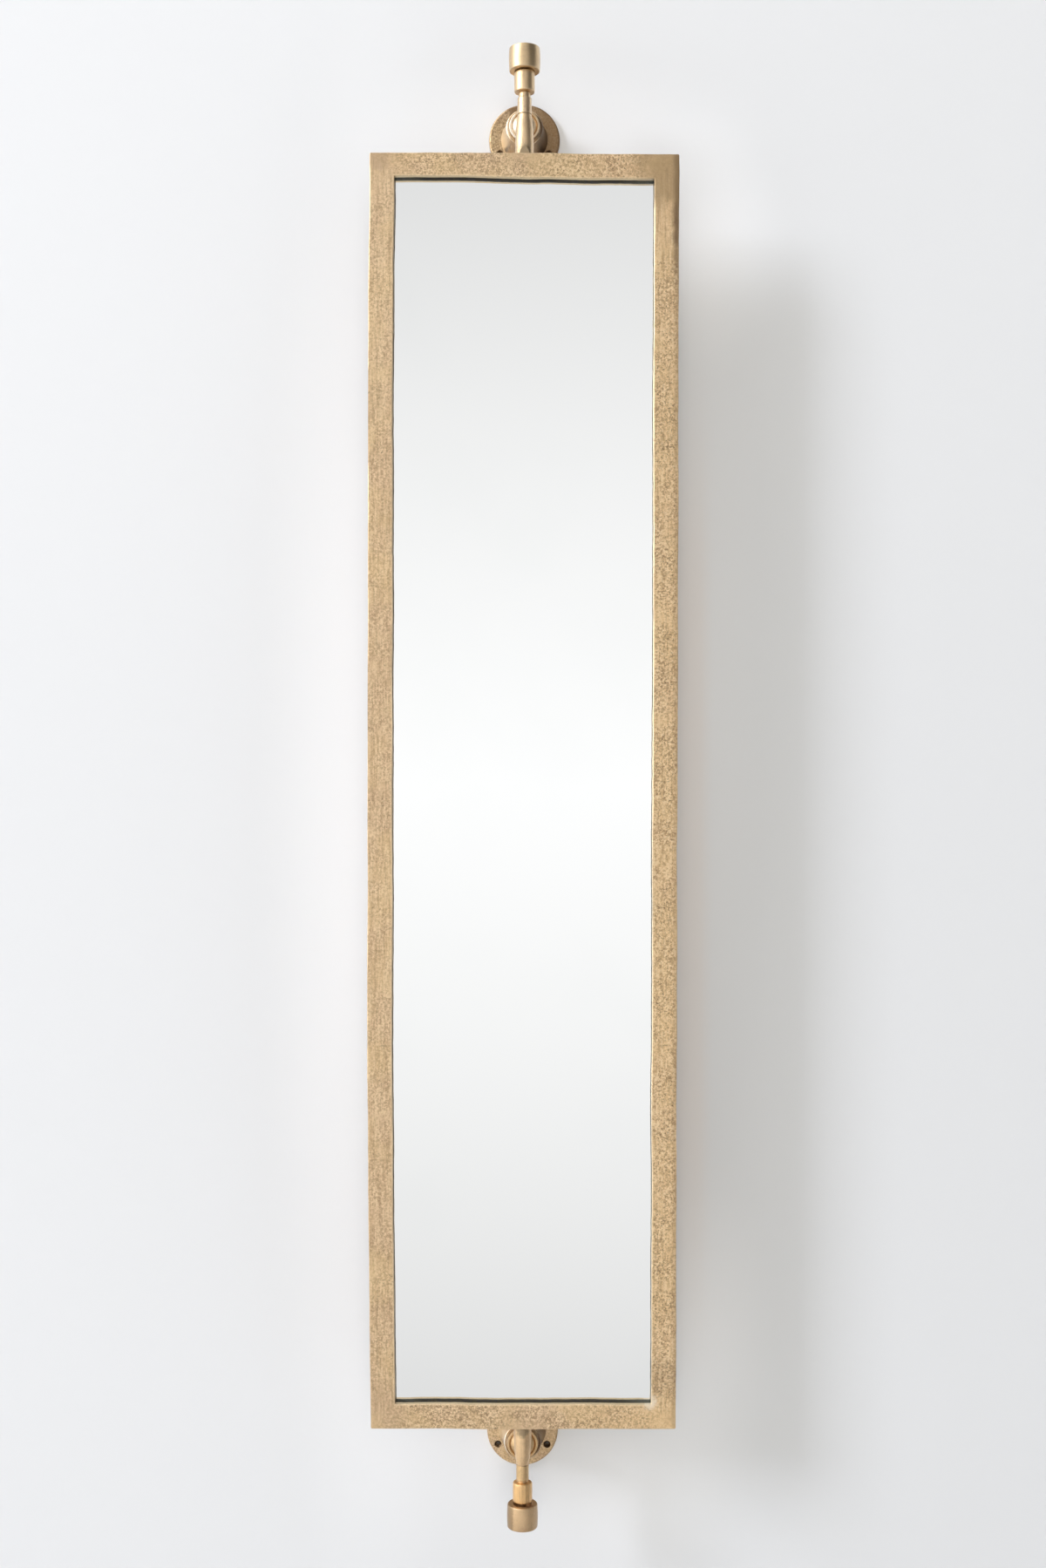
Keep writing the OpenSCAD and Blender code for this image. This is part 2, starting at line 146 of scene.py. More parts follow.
def raised(height, depth, under=None):
    """A bump of that depth in metres, on top of another bump."""
    sockets = {"Height": height, "Distance": depth, "Strength": 1.0}
    if under:
        sockets["Normal"] = under
    return height.node("ShaderNodeBump", sockets)


def finish(name, metallic=0.0, **constants):
    """Starts a material. Returns it, the place on the object, and a call that fills its shader."""
    made = bpy.data.materials.new(name)
    made.use_nodes = True
    shader = made.node_tree.nodes["Principled BSDF"]
    shader.inputs["Metallic"].default_value = metallic
    for socket, value in constants.items():
        shader.inputs[socket.replace("_", " ")].default_value = value

    def fill(**sockets):
        """Links wires to the shader's sockets."""
        for socket, value in sockets.items():
            made.node_tree.links.new(value.socket, shader.inputs[socket.replace("_", " ")])

    place = Wire(made.node_tree).node("ShaderNodeTexCoord", output="Object")
    return made, place, fill


def along(place, axis):
    """One coordinate of the place: 0 for x, 1 for y, 2 for z."""
    return place.node("ShaderNodeSeparateXYZ", {0: place}, output=axis)


def nearness(place, centre, reach):
    """1 at a point, fading to 0 at a ragged distance from it."""
    gap = place.node("ShaderNodeVectorMath", {0: place, 1: centre}, output="Value",
                     operation="DISTANCE")
    ragged = gap + (cloud(place, reach * 0.35, 3) - 0.5) * (reach * 0.9)
    return ramp(ragged, reach, reach * 0.45)


CREAM = (0.97, 0.76, 0.49)
TAN = (0.745, 0.535, 0.305)
PINK = (0.695, 0.49, 0.305)
OLIVE = (0.67, 0.50, 0.285)
BROWN = (0.36, 0.238, 0.134)
DARK = (0.14, 0.088, 0.050)

cast_brass, place, fill = finish("cast_brass", metallic=1.0)
place = place.node("ShaderNodeAttribute", output="Vector", attribute_name="straight")
x, y, z = along(place, 0), along(place, 1), along(place, 2)
from_side = half_w - abs(x)
from_end = half_h - abs(z - middle.z)
from_outside = from_side.at_most(from_end)
from_corner = from_side.at_least(from_end)
from_inside = abs(from_outside - bar_w)
on_stile = ramp(from_side - from_end, 0.004, -0.004)
on_left = on_stile * ramp(x, 0.01, -0.01)
inner_wall = ramp(y, face_y + 0.0009, face_y + 0.0016) * ramp(from_outside, bar_w * 0.6, bar_w * 0.8)
# The edges are lighter: partly the antique finish worn back, partly a painted highlight on the lit
# arrises.
worn_and_lit_edge = ramp(from_inside, 0.0026, 0.0004).at_least(ramp(from_outside, 0.0020, 0.0002) * 0.5)
wobble = cloud(place, 0.012) - 0.5
polished = ramp(from_corner + wobble * 0.05, 0.062, 0.022) * 0.8
polished = polished.at_least(ramp(z + wobble * 0.06, 1.500, 1.535) * ramp(x + wobble * 0.05, 0.145, 0.165))
stub_zone = ramp(abs(x) + wobble * 0.03, 0.034, 0.010)
polished = polished.at_least(stub_zone * ramp(from_end, 0.018, 0.002) * 0.9)
patches = ramp(cloud(place, 0.030, 3, 0.6), 0.34, 0.60)
sandy = (0.88 - on_left * 0.34) * (1 - polished * 0.70) * (0.50 + patches * 0.5)
grain = cloud(place, 0.0012, 1, 0.5) * 0.45 + cloud(place, 0.0026, 1, 0.5) * 0.55
mottle = cloud(place, 0.009, 3, 0.6)
blotch = cloud(place, 0.060, 2, 0.5)
worms = cloud(place, 0.0024, 3, 0.7)
pit_zone = cloud(place, 0.034, 3, 0.6) + (on_stile - on_left) * 0.06 - on_left * 0.05
pitted = ramp(pit_zone, 0.46, 0.64) * (1 - polished)
pits = ramp(worms, 0.560, 0.640) * pitted
lines = cloud(stretch(place, 1, 1, 0.07), 0.0020, 3, 0.6) * on_stile + (1 - on_stile) * 0.5
bands = cloud(stretch(place, 1, 1, 0.10), 0.0070, 2, 0.5) * on_stile + (1 - on_stile) * 0.5
purple_corner = nearness(place, (-0.184, face_y, 1.640), 0.020)
brown_corner = nearness(place, (0.190, face_y, 1.626), 0.062)
worn_patch = nearness(place, (0.176, face_y, 0.118), 0.030)
cream_spot = nearness(place, (0.162, face_y, 0.087), 0.012)
# Painted shade: the right stile's outer edge is darker, and more so at the top right corner, where it
# turns away from the lamp.
right_edge_shade = ramp(x, half_w - 0.009, half_w - 0.002) * on_stile
right_corner_shade = ramp(x + wobble * 0.006, half_w - 0.011, half_w - 0.003) * ramp(z + wobble * 0.08, 1.46, 1.56)
colour = tint(ramp(blotch, 0.38, 0.62), TAN, PINK)
colour = tint(ramp(mottle, 0.45, 0.75) * 0.35, colour, OLIVE)
colour = tint(ramp(bands, 0.48, 0.66) * 0.30, colour, PINK)
colour = tint(ramp(bands, 0.48, 0.34) * 0.22, colour, CREAM)
colour = tint(ramp(x, 0.02, half_w) * 0.44, colour, (0.97, 0.675, 0.355))
colour = tint(ramp(z, 1.20, 1.45) * on_left * 0.16, colour, CREAM)
colour = tint(ramp(lines, 0.50, 0.66) * 0.40, colour, BROWN)
colour = tint(ramp(lines, 0.50, 0.34) * 0.36, colour, CREAM)
colour = tint(ramp(grain, 0.47, 0.66) * sandy, colour, CREAM)
colour = tint(ramp(grain, 0.54, 0.34) * sandy, colour, BROWN)
colour = tint(pits * 0.75, colour, DARK)
# Painted shade along the right edge.
colour = tint(right_edge_shade * 0.35, colour, BROWN)
colour = tint(right_corner_shade * 0.75, colour, DARK)
colour = tint(worn_and_lit_edge * 0.60, colour, CREAM)
# Painted light on the right stile's inner wall, which faces the lamp, and painted shade on the rails'
# inner walls.
colour = tint(inner_wall * ramp(x, 0.155, 0.162), colour, (1.0, 0.93, 0.76))
colour = tint(inner_wall * (1 - on_stile) * 0.45, colour, (0.62, 0.52, 0.30))
colour = tint(purple_corner * 0.35, colour, (0.40, 0.26, 0.19))
colour = tint(brown_corner * 0.62, colour, (0.38, 0.26, 0.140))
colour = tint(worn_patch * (0.12 + ramp(worms, 0.50, 0.64) * 0.45), colour, DARK)
colour = tint(cream_spot * 0.8, colour, (0.97, 0.84, 0.66))
fill(Base_Color=colour,
     Roughness=0.42 + pits * 0.14 - polished * 0.05 - worn_and_lit_edge * 0.05,
     Normal=raised(grain * sandy, 0.00030, raised(mottle, 0.0005)))


def ring(section, wide, high, centre):
    """A mitred rectangular ring. Its section is drawn at one corner, as distances in from the
    outside and depths, and is turned once round in four steps."""
    bm = bmesh.new()
    corner = [bm.verts.new((wide - inset, depth, wide - inset)) for inset, depth in section]
    sides = [bm.edges.new(pair) for pair in zip(corner, corner[1:] + corner[:1])]
    bmesh.ops.spin(bm, geom=corner + sides, cent=(0, 0, 0), axis=(0, 1, 0), angle=2 * pi,
                   steps=4, use_merge=True)
    for v in bm.verts:
        v.co.z += copysign(high - wide, v.co.z)
    bmesh.ops.translate(bm, verts=bm.verts, vec=centre)
    bmesh.ops.recalc_face_normals(bm, faces=bm.faces)
    return bm


def round_edges(bm, edges, radius, segments=3):
    """Rounds some edges of a shape."""
    bmesh.ops.bevel(bm, geom=edges, offset=radius, affect="EDGES", segments=segments,
                    profile=0.5, material=-1, clamp_overlap=True)


def divide(bm, spacing, measure):
    """Cuts edges into pieces of about that spacing. Measure gives the length that an edge counts
    for, or 0 to leave it whole. Edges across from each other count for the same, so that the
    faces between them become a grid."""
    groups = {}
    for edge in bm.edges:
        cuts = round(measure(edge) / spacing) - 1
        if cuts > 0:
            groups.setdefault(cuts, []).append(edge)
    for cuts, edges in groups.items():
        bmesh.ops.subdivide_edges(bm, edges=edges, cuts=cuts, use_grid_fill=True)


def lengthwise(edge):
    """A bar's whole length, for an edge that runs along it."""
    if edge.calc_length() < 0.1:
        return 0
    return 2 * half_h if parallel(edge, 2) else 2 * half_w


def inset(co):
    """How far in a point lies from the frame's outside."""
    return min(half_w - abs(co.x), half_h - abs(co.z - middle.z))


def crosswise(edge):
    """How wide a strip is that the edge crosses, square or on the mitre."""
    first, last = [v.co for v in edge.verts]
    width = max(abs(inset(first) - inset(last)), abs(first.y - last.y))
    return width if width > REBATE * 0.9 else 0


def keep_straight(bm):
    """Writes each point's place on its mesh, so that a finish can follow a bar that is bent."""
    straight = bm.verts.layers.float_vector.new("straight")
    for v in bm.verts:
        v[straight] = v.co


def wander(bm, size, depth, weight=lambda co: 1.0, flat=1.0):
    """Moves every point a little, in a smooth pattern of that size, as hand work does. With flat
    at 0 the pattern is the same at every depth behind the face."""
    for v in bm.verts:
        spot = Vector((v.co.x, v.co.y * flat, v.co.z)) / size
        v.co += noise.noise_vector(spot) * depth * weight(v.co)


def add_piece(name, bm, body, slot, material, *nodes, sharp=38):
    """Makes an object of a shape. It rides on its body and stands for its CAD nodes. Edges past
    the sharp angle stay crisp, and flat faces stay flat beside rounded edges."""
    mesh = bpy.data.meshes.new(name)
    bm.to_mesh(mesh)
    bm.free()
    mesh.shade_smooth()
    mesh.set_sharp_from_angle(angle=radians(sharp))
    mesh.materials.append(material)
    piece = bpy.data.objects.new(name, mesh)
    bpy.context.scene.collection.objects.link(piece)
    piece.modifiers.new("flat faces", "WEIGHTED_NORMAL").keep_sharp = True
    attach(piece, body)
    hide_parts(*nodes)
    return piece


def parallel(edge, axis):
    """Whether an edge runs along an axis."""
    line = edge.verts[1].co - edge.verts[0].co
    return abs(line[axis]) > 0.999 * line.length


lip_back = face_y + LIP
bars = ring([(0, face_y), (bar_w, face_y), (bar_w, lip_back), (bar_w - REBATE, lip_back),
             (bar_w - REBATE, back_y), (0, back_y)], half_w, half_h, middle)
round_edges(bars, [e for e in bars.edges if parallel(e, 1)
                   and abs(e.verts[0].co.x) > half_w - ARRIS], CORNER, 4)
round_edges(bars, [e for e in bars.edges if e.calc_face_angle(0) > 1.2
                   and all(abs(v.co.y - face_y) < 1e-5 or abs(v.co.y - back_y) < 1e-5
                           for v in e.verts)], ARRIS)
divide(bars, CAST_LONG, lengthwise)
divide(bars, CAST_WIDE, crosswise)
bmesh.ops.triangulate(bars, faces=[f for f in bars.faces if len(f.verts) > 4])


def edge_play(co):
    """The hand-finished front edges wander, and the back stays true to the board."""
    return 1.0 if co.y < lip_back - 0.001 or inset(co) > bar_w - 0.001 else 0.25


def smooth(value, low, high):
    """0 up to low, 1 from high, and smooth between."""
    share = max(0.0, min(1.0, (value - low) / (high - low)))
    return share * share * (3 - 2 * share)


def out_of_true(bm):
    """Bends the frame as the real one is: the left stile draws in towards its foot, the right one
    stands in all along, and the top rail hangs lower at its right. The glass's rebate stays."""
    for v in bm.verts:
        depth_in = inset(v.co)
        if v.co.y > lip_back - 1e-5 and bar_w - REBATE - 0.001 < depth_in < bar_w - 0.003:
            continue
        up = (v.co.z - middle.z) / half_h
        at_side = smooth(abs(v.co.x), 0.05, half_w - bar_w)
        if v.co.x < 0:
            depth, crest, start = LEFT_BOW
            v.co.x += at_side * max(0.0, depth * (up - crest) ** 2 - start)
            inner = smooth(depth_in, 0.3 * bar_w, bar_w) * (up > 0.7)
            v.co.z += TOP_THIN * smooth(-v.co.x, -0.02, 0.09) * inner
        else:
            v.co.x -= at_side * (RIGHT_LEAN[0] - RIGHT_LEAN[1] * up)
            v.co.z -= TOP_DROP * smooth(v.co.x, 0.02, 0.09) * smooth(up, 0.7, 0.95)


def by_hand(bm):
    """The unevenness of the bars' front edges, and their bend."""
    wander(bm, 0.110, SWELL, edge_play, 0)
    wander(bm, 0.021, RIPPLE * 1.6, edge_play, 0)
    wander(bm, 0.0065, RIPPLE * 0.7, edge_play, 0)
    out_of_true(bm)


for name, sign, upright in (("left_stile", -1, True), ("right_stile", 1, True),
                            ("top_rail", 1, False), ("bottom_rail", -1, False)):
    bar = bars.copy()
    for other in (-1, 1):
        corner = middle + Vector((sign * half_w, 0, other * half_h)) if upright else \
            middle + Vector((other * half_w, 0, sign * half_h))
        away = Vector((-sign, 0, other)) if upright else Vector((other, 0, -sign))
        bmesh.ops.bisect_plane(bar, geom=bar.verts[:] + bar.edges[:] + bar.faces[:],
                               dist=1e-5, plane_co=corner, plane_no=away, clear_outer=True)
    if upright:
        opposite = [v for v in bar.verts if v.co.x * sign < 0]
        bmesh.ops.delete(bar, geom=opposite, context="VERTS")
    bmesh.ops.holes_fill(bar, edges=[e for e in bar.edges if e.is_boundary])
    keep_straight(bar)
    by_hand(bar)
    for v in bar.verts:
        v.co.x = max(-half_w, min(half_w, v.co.x))
        v.co.y = max(face_y, v.co.y)
    bmesh.ops.recalc_face_normals(bar, faces=bar.faces)
    add_piece(name + "_cast", bar, "mirror_frame", "cast_brass", cast_brass, name)
bars.free()

# ---- Pivot stubs --------------------------------------------------------------------------
# A round stub is welded on each rail. It narrows in one long curve, and is bored for the pivot's
# bush. Its foot is filed flat at the front, down to the frame's face, and rubbed smooth.

STUB_FOOT = {"upper": 0.0116, "lower": 0.0110}     # radius at the rail
STUB_TIP = {"upper": 0.0089, "lower": 0.0079}      # radius at the arm's eye
STUB_TAPER = 0.037     # length over which a stub swells from its tip to its full width
BORE = 0.0057          # radius of the bore for the bush
BORE_DEPTH = 0.0190
WELD = 0.0007          # the weld's fillet round the foot
FACET_HIGH = 0.009     # height of the filed facet
FACET_DEEP = 0.002     # how deep it is at the foot
FACET_SOFT = 0.0009    # roundness of its rim
STUB_BRASS = {"upper": (0.84, 0.62, 0.37), "lower": (0.82, 0.585, 0.335)}
STUB_ROUGH = {"upper": 0.36, "lower": 0.54}

pivot_y = (face_y + back_y) / 2


def revolve(outline, steps=96):
    """Turns an outline of (radius, height) points once round the Z axis into a solid."""
    bm = bmesh.new()
    points = [bm.verts.new((radius, 0, height)) for radius, height in outline]
    closing = [] if outline[0][0] == 0 and outline[-1][0] == 0 else [(points[-1], points[0])]
    sides = [bm.edges.new(pair) for pair in [*zip(points, points[1:]), *closing]]
    bmesh.ops.spin(bm, geom=points + sides, cent=(0, 0, 0), axis=(0, 0, 1), angle=2 * pi,
                   steps=steps, use_merge=True)
    bmesh.ops.remove_doubles(bm, verts=bm.verts, dist=1e-7)
    bmesh.ops.recalc_face_normals(bm, faces=bm.faces)
    return bm


def curve(centre, radii, start, end, points=6):
    """Points of an arc about a centre, from one angle to another in degrees."""
    turn = [radians(start + (end - start) * i / points) for i in range(points + 1)]
    return [(centre[0] + radii[0] * cos(a), centre[1] + radii[1] * sin(a)) for a in turn]


def slice_off(bm, point, way):
    """Cuts a shape flat beyond a point, and closes the cut. Returns the edges of the new face."""
    cut = bmesh.ops.bisect_plane(bm, geom=bm.verts[:] + bm.edges[:] + bm.faces[:], dist=1e-6,
                                 plane_co=point, plane_no=way, clear_outer=True)
    rim = [e for e in cut["geom_cut"] if isinstance(e, bmesh.types.BMEdge)]
    bmesh.ops.holes_fill(bm, edges=rim)
    return rim


def crisp(bm, angle=50):
    """The edges where two faces meet at more than that angle."""
    return [e for e in bm.edges if e.is_manifold and e.calc_face_angle(0) > radians(angle)]


def on_pivot(bm, start, outward):
    """Stands a shape on the pivot line, with its +Z out of the frame's end."""
    if outward < 0:
        bmesh.ops.rotate(bm, verts=bm.verts, matrix=Matrix.Rotation(pi, 3, "X"))
    bmesh.ops.translate(bm, verts=bm.verts, vec=(0, pivot_y, start))
    return bm


def turned_brass(name, light, deep, lines, speckle=0.0, streak=0.0, rough=0.34, stain_and_shade_spots=(),
                 sides=()):
    """Turned or filed brass, rubbed, darkened and waxed. Lines says how the tool marks run. Spots
    darken it round a point: real stains, and painted shade on a stub's facet. Sides are painted
    highlights and painted shade that grow along x."""
    made, place, fill = finish(name, metallic=1.0, Coat_Weight=0.6, Coat_Roughness=0.30,
                               Coat_IOR=1.6)
    marks = cloud(stretch(place, *lines), 0.0004, 2, 0.6)
    bands = cloud(stretch(place, *lines), 0.0022, 2)
    blotch = cloud(place, 0.016, 3, 0.55)
    grains = cloud(place, 0.0019, 3, 0.65)
    duller = tuple(0.8 * a + 0.2 * b for a, b in zip(light, deep))
    colour = tint(ramp(blotch, 0.35, 0.68), light, duller)
    colour = tint(ramp(bands, 0.56, 0.76) * 0.22, colour, deep)
    colour = tint(ramp(marks, 0.55, 0.8) * 0.16, colour, deep)
    dark = ramp(grains + (blotch - 0.5) * 0.3, 0.52, 0.74) * speckle
    if streak:
        runs = cloud(stretch(place, 1, 1, 0.12), 0.0028, 3, 0.6)
        dark = dark.at_least(ramp(runs, 0.5, 0.72) * streak)
    colour = tint(dark, colour, deep)
    for centre, reach, strength, stain_and_light_tone in stain_and_shade_spots:
        colour = tint(nearness(place, centre, reach) * strength, colour, stain_and_light_tone)
    # Painted highlights and painted shade that grow across the piece along x.
    for edge_from, edge_to, strength, stain_and_light_tone in sides:
        mask = ramp(along(place, 0) + (grains - 0.5) * 0.006, edge_from, edge_to)
        colour = tint(mask * strength, colour, stain_and_light_tone)
    dents = raised(cloud(place, 0.0045, 2), 0.0009 * speckle, raised(marks, 0.00004))
    fill(Base_Color=colour, Roughness=rough + dark * 0.16 + (blotch - 0.5) * 0.10,
         Normal=raised(grains, 0.00008 + 0.0003 * speckle, dents))
    return made


for side, outward in (("upper", 1), ("lower", -1)):
    low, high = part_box(side + "_stub")
    length, foot, tip = high.z - low.z, STUB_FOOT[side], STUB_TIP[side]
    start = low.z if side == "upper" else high.z
    outline = [(0, 0), (foot + WELD, 0), (foot + WELD * 0.35, WELD * 0.5), (foot, WELD * 1.6)]
    outline += [(tip + (foot - tip) * t * (2 - t), length - STUB_TAPER * t)
                for t in [1 - i / 16 for i in range(16)]]
    outline += [(tip, length - 0.0003), (tip - 0.0003, length), (BORE + 0.0004, length),
                (BORE, length - 0.0004), (BORE, length - BORE_DEPTH), (0, length - BORE_DEPTH)]
    stub = revolve(outline, 80)
    divide(stub, 0.003,
           lambda e: e.calc_length() if e.calc_length() > 0.004 and parallel(e, 2) else 0)
    facet_tilt = atan(FACET_DEEP / FACET_HIGH)
    slice_off(stub, (0, face_y - pivot_y + 0.0002, 0), (0, -1, 0))
    slice_off(stub, (0, back_y - pivot_y - 0.0002, 0), (0, 1, 0))
    rim = slice_off(stub, (0, -foot, FACET_HIGH), (0, -cos(facet_tilt), -sin(facet_tilt)))
    round_edges(stub, [e for e in rim if e.is_valid], FACET_SOFT, 3)
    wander(stub, 0.012, 0.00022, lambda co: 1.0 if hypot(co.x, co.y) > BORE + 0.001 else 0.0)
    on_pivot(stub, start, outward)
    # Painted shade on the filed facet at the stub's foot.
    filed = ((Vector((0, face_y, start + outward * 0.003)), 0.011, 0.92, (0.35, 0.255, 0.145)),)
    brass = turned_brass(side + "_stub_brass", STUB_BRASS[side], (0.40, 0.265, 0.15),
                         (1, 1, 0.15), speckle=0.35, streak=0.3, rough=STUB_ROUGH[side],
                         stain_and_shade_spots=filed)
    add_piece(side + "_stub_filed", stub, "mirror_frame", "turned_brass", brass, side + "_stub")

# ---- Mirror glass -------------------------------------------------------------------------
# Silvered float glass, 5 mm thick, with its sharp edges taken off. It rests on two rubber
# blocks in the rebate. The silver is nearly clean, with the faintest haze.

ARRISED = 0.0007       # the glass's ground edge


def block(low, high):
    """A box between two corners."""
    bm = bmesh.new()
    bmesh.ops.create_cube(bm, size=1)
    bmesh.ops.scale(bm, verts=bm.verts, vec=high - low)
    bmesh.ops.translate(bm, verts=bm.verts, vec=(low + high) / 2)
    return bm


silvered, place, fill = finish("silvered_glass", metallic=1.0)
haze = ramp(cloud(place, 0.18, 3), 0.45, 0.75)
edge = ramp(abs(along(place, 0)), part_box("mirror_glass")[1].x - 0.004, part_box("mirror_glass")[1].x)
colour = tint(haze, (0.965, 0.972, 0.970), (0.950, 0.960, 0.957))
fill(Base_Color=tint(edge * 0.4, colour, (0.62, 0.74, 0.68)), Roughness=haze * 0.006 + 0.004)
glass = block(*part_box("mirror_glass"))
round_edges(glass, glass.edges[:], ARRISED, 2)
add_piece("mirror_glass_plate", glass, "mirror_frame", "silvered_glass", silvered, "mirror_glass",
          sharp=1)

rubber, place, fill = finish("block_rubber")
fill(Base_Color=tint(cloud(place, 0.004, 3), (0.02, 0.02, 0.021), (0.045, 0.044, 0.043)),
     Roughness=0.62 + cloud(place, 0.002) * 0.25)
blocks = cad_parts["setting_blocks"]
blocks.data.materials.clear()
blocks.data.materials.append(rubber)

# ---- Glass seal ---------------------------------------------------------------------------
# A black bead, run by hand in the corner between the lip's inner wall and the glass. Its top
# edge wanders, and the mirror shows it a second time.

SEAL_SHOW = 0.00035    # how far the bead stands in over the glass
SEAL_WAVE = 0.00010    # how far its edge wanders
SEAL_SUNK = 0.0004     # how far its back is pressed into the lip
SEAL_MORE = 0.0004     # how much further it was smeared up the lip's wall

seal_low, seal_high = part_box("glass_seal")
glass_front = seal_high.y
bead_top = seal_low.y
wall_in = bar_w - SEAL_SUNK
bead = ring([(half_w - seal_high.x, lip_back - SEAL_SUNK), (wall_in, lip_back - SEAL_SUNK),
             (wall_in, bead_top - SEAL_MORE),
             (bar_w + SEAL_SHOW * 0.25, bead_top - SEAL_MORE + 0.0004),
             (bar_w + SEAL_SHOW * 0.55, bead_top + 0.0012),
             (bar_w + SEAL_SHOW * 0.75, glass_front - 0.0012),
             (bar_w + SEAL_SHOW, glass_front), (half_w - seal_high.x, glass_front)],
            half_w, half_h, middle)
divide(bead, CAST_LONG / 2, lengthwise)
bmesh.ops.triangulate(bead, faces=[f for f in bead.faces if len(f.verts) > 4])


def bead_play(co):
    """Only the part that shows wanders."""
    return 1.0 if inset(co) > bar_w and co.y < glass_front - 1e-4 else 0.0


by_hand(bead)
wander(bead, 0.011, SEAL_WAVE, bead_play)
seal_black, place, fill = finish("seal_black", Specular_IOR_Level=0.12)
from_ends = half_h - abs(along(place, 2) - middle.z)
corner_mist = ramp((half_w - abs(along(place, 0))).at_least(from_ends), 0.075, 0.040)
mixed_dust = ramp(cloud(place, 0.0032, 3), 0.42, 0.70)
colour = tint(mixed_dust, (0.014, 0.011, 0.006), (0.070, 0.059, 0.030))
fill(Base_Color=tint(corner_mist * 0.5, colour, (0.13, 0.135, 0.105)),
     Roughness=0.50 + mixed_dust * 0.3, Normal=raised(cloud(place, 0.0018, 3), 0.0003))
add_piece("glass_seal_bead", bead, "mirror_frame", "black_seal", seal_black, "glass_seal")

# ---- Backing board, clips and screws ------------------------------------------------------
# A brown hardboard panel closes the back, flush with the bars. Flat brass tabs hold it, each
# on one slotted screw.

board_brown, place, fill = finish("hardboard")
fibre = cloud(stretch(place, 1, 1, 0.25), 0.0016, 4, 0.65)
cloudy = cloud(place, 0.09, 3)
colour = tint(ramp(fibre, 0.35, 0.7), (0.165, 0.100, 0.055), (0.30, 0.195, 0.115))
colour = tint(ramp(cloudy, 0.4, 0.7) * 0.4, colour, (0.24, 0.165, 0.105))
fill(Base_Color=colour, Roughness=0.55 + fibre * 0.25, Normal=raised(fibre, 0.00012))
board = block(*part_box("backing_board"))
round_edges(board, board.edges[:], 0.0008, 2)
add_piece("backing_board_panel", board, "mirror_frame", "board", board_brown, "backing_board")


def from_cad(node):
    """A copy of a CAD node's shape, with its doubled points merged and its flat faces whole."""
    bm = bmesh.new()
    bm.from_mesh(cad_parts[node].data)
    bmesh.ops.remove_doubles(bm, verts=bm.verts, dist=2e-6)
    bmesh.ops.dissolve_limit(bm, angle_limit=radians(1), verts=bm.verts, edges=bm.edges)
    return bm


clips = from_cad("retaining_clips")
round_edges(clips, crisp(clips), 0.0003, 2)
clip_brass = turned_brass("clip_brass", (0.78, 0.57, 0.31), (0.34, 0.22, 0.12), (0.2, 1, 1),
                          speckle=0.25, rough=0.38)
add_piece("retaining_clips_brass", clips, "mirror_frame", "turned_brass", clip_brass,
          "retaining_clips")

steel, place, fill = finish("zinc_steel", metallic=1.0)
spangle = cloud(place, 0.0011, 3)
fill(Base_Color=tint(ramp(spangle, 0.35, 0.7), (0.52, 0.52, 0.50), (0.70, 0.69, 0.66)),
     Roughness=0.30 + spangle * 0.2, Normal=raised(spangle, 0.00005))
screws = from_cad("clip_screws")
round_edges(screws, crisp(screws), 0.00015, 2)
add_piece("clip_screws_steel", screws, "mirror_frame", "steel", steel, "clip_screws")

# ---- Wall plates --------------------------------------------------------------------------
# Round cast plates against the wall, softened at the edge, with three countersunk holes for
# wood screws. Cast and rubbed like the frame.

PLATE_EDGE = 0.0025    # roundness of the front edge
HOLE_CIRCLE = 0.0375   # radius of the circle of holes
HOLES = 3
HOLE = 0.0026          # radius of a screw hole
COUNTERSINK = 0.0049   # its radius at the face
BOLT_HOLE = 0.0053
BOLT_HEAD_HOLE = 0.0088
BOLT_HEAD_DEEP = 0.0046
PLATE_LOOKS = {        # how light, how much patina and painted shadow at the right, how much painted shade in the countersinks, how coarse
    "upper": (0.77, 0.80, 0.70, 0.80),
    "lower": (1.02, 0.24, 0.95, 0.55),
}


def plate_middle(side):
    """The height of a wall plate's middle."""
    low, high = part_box(side + "_wall_plate")
    return (low.z + high.z) / 2


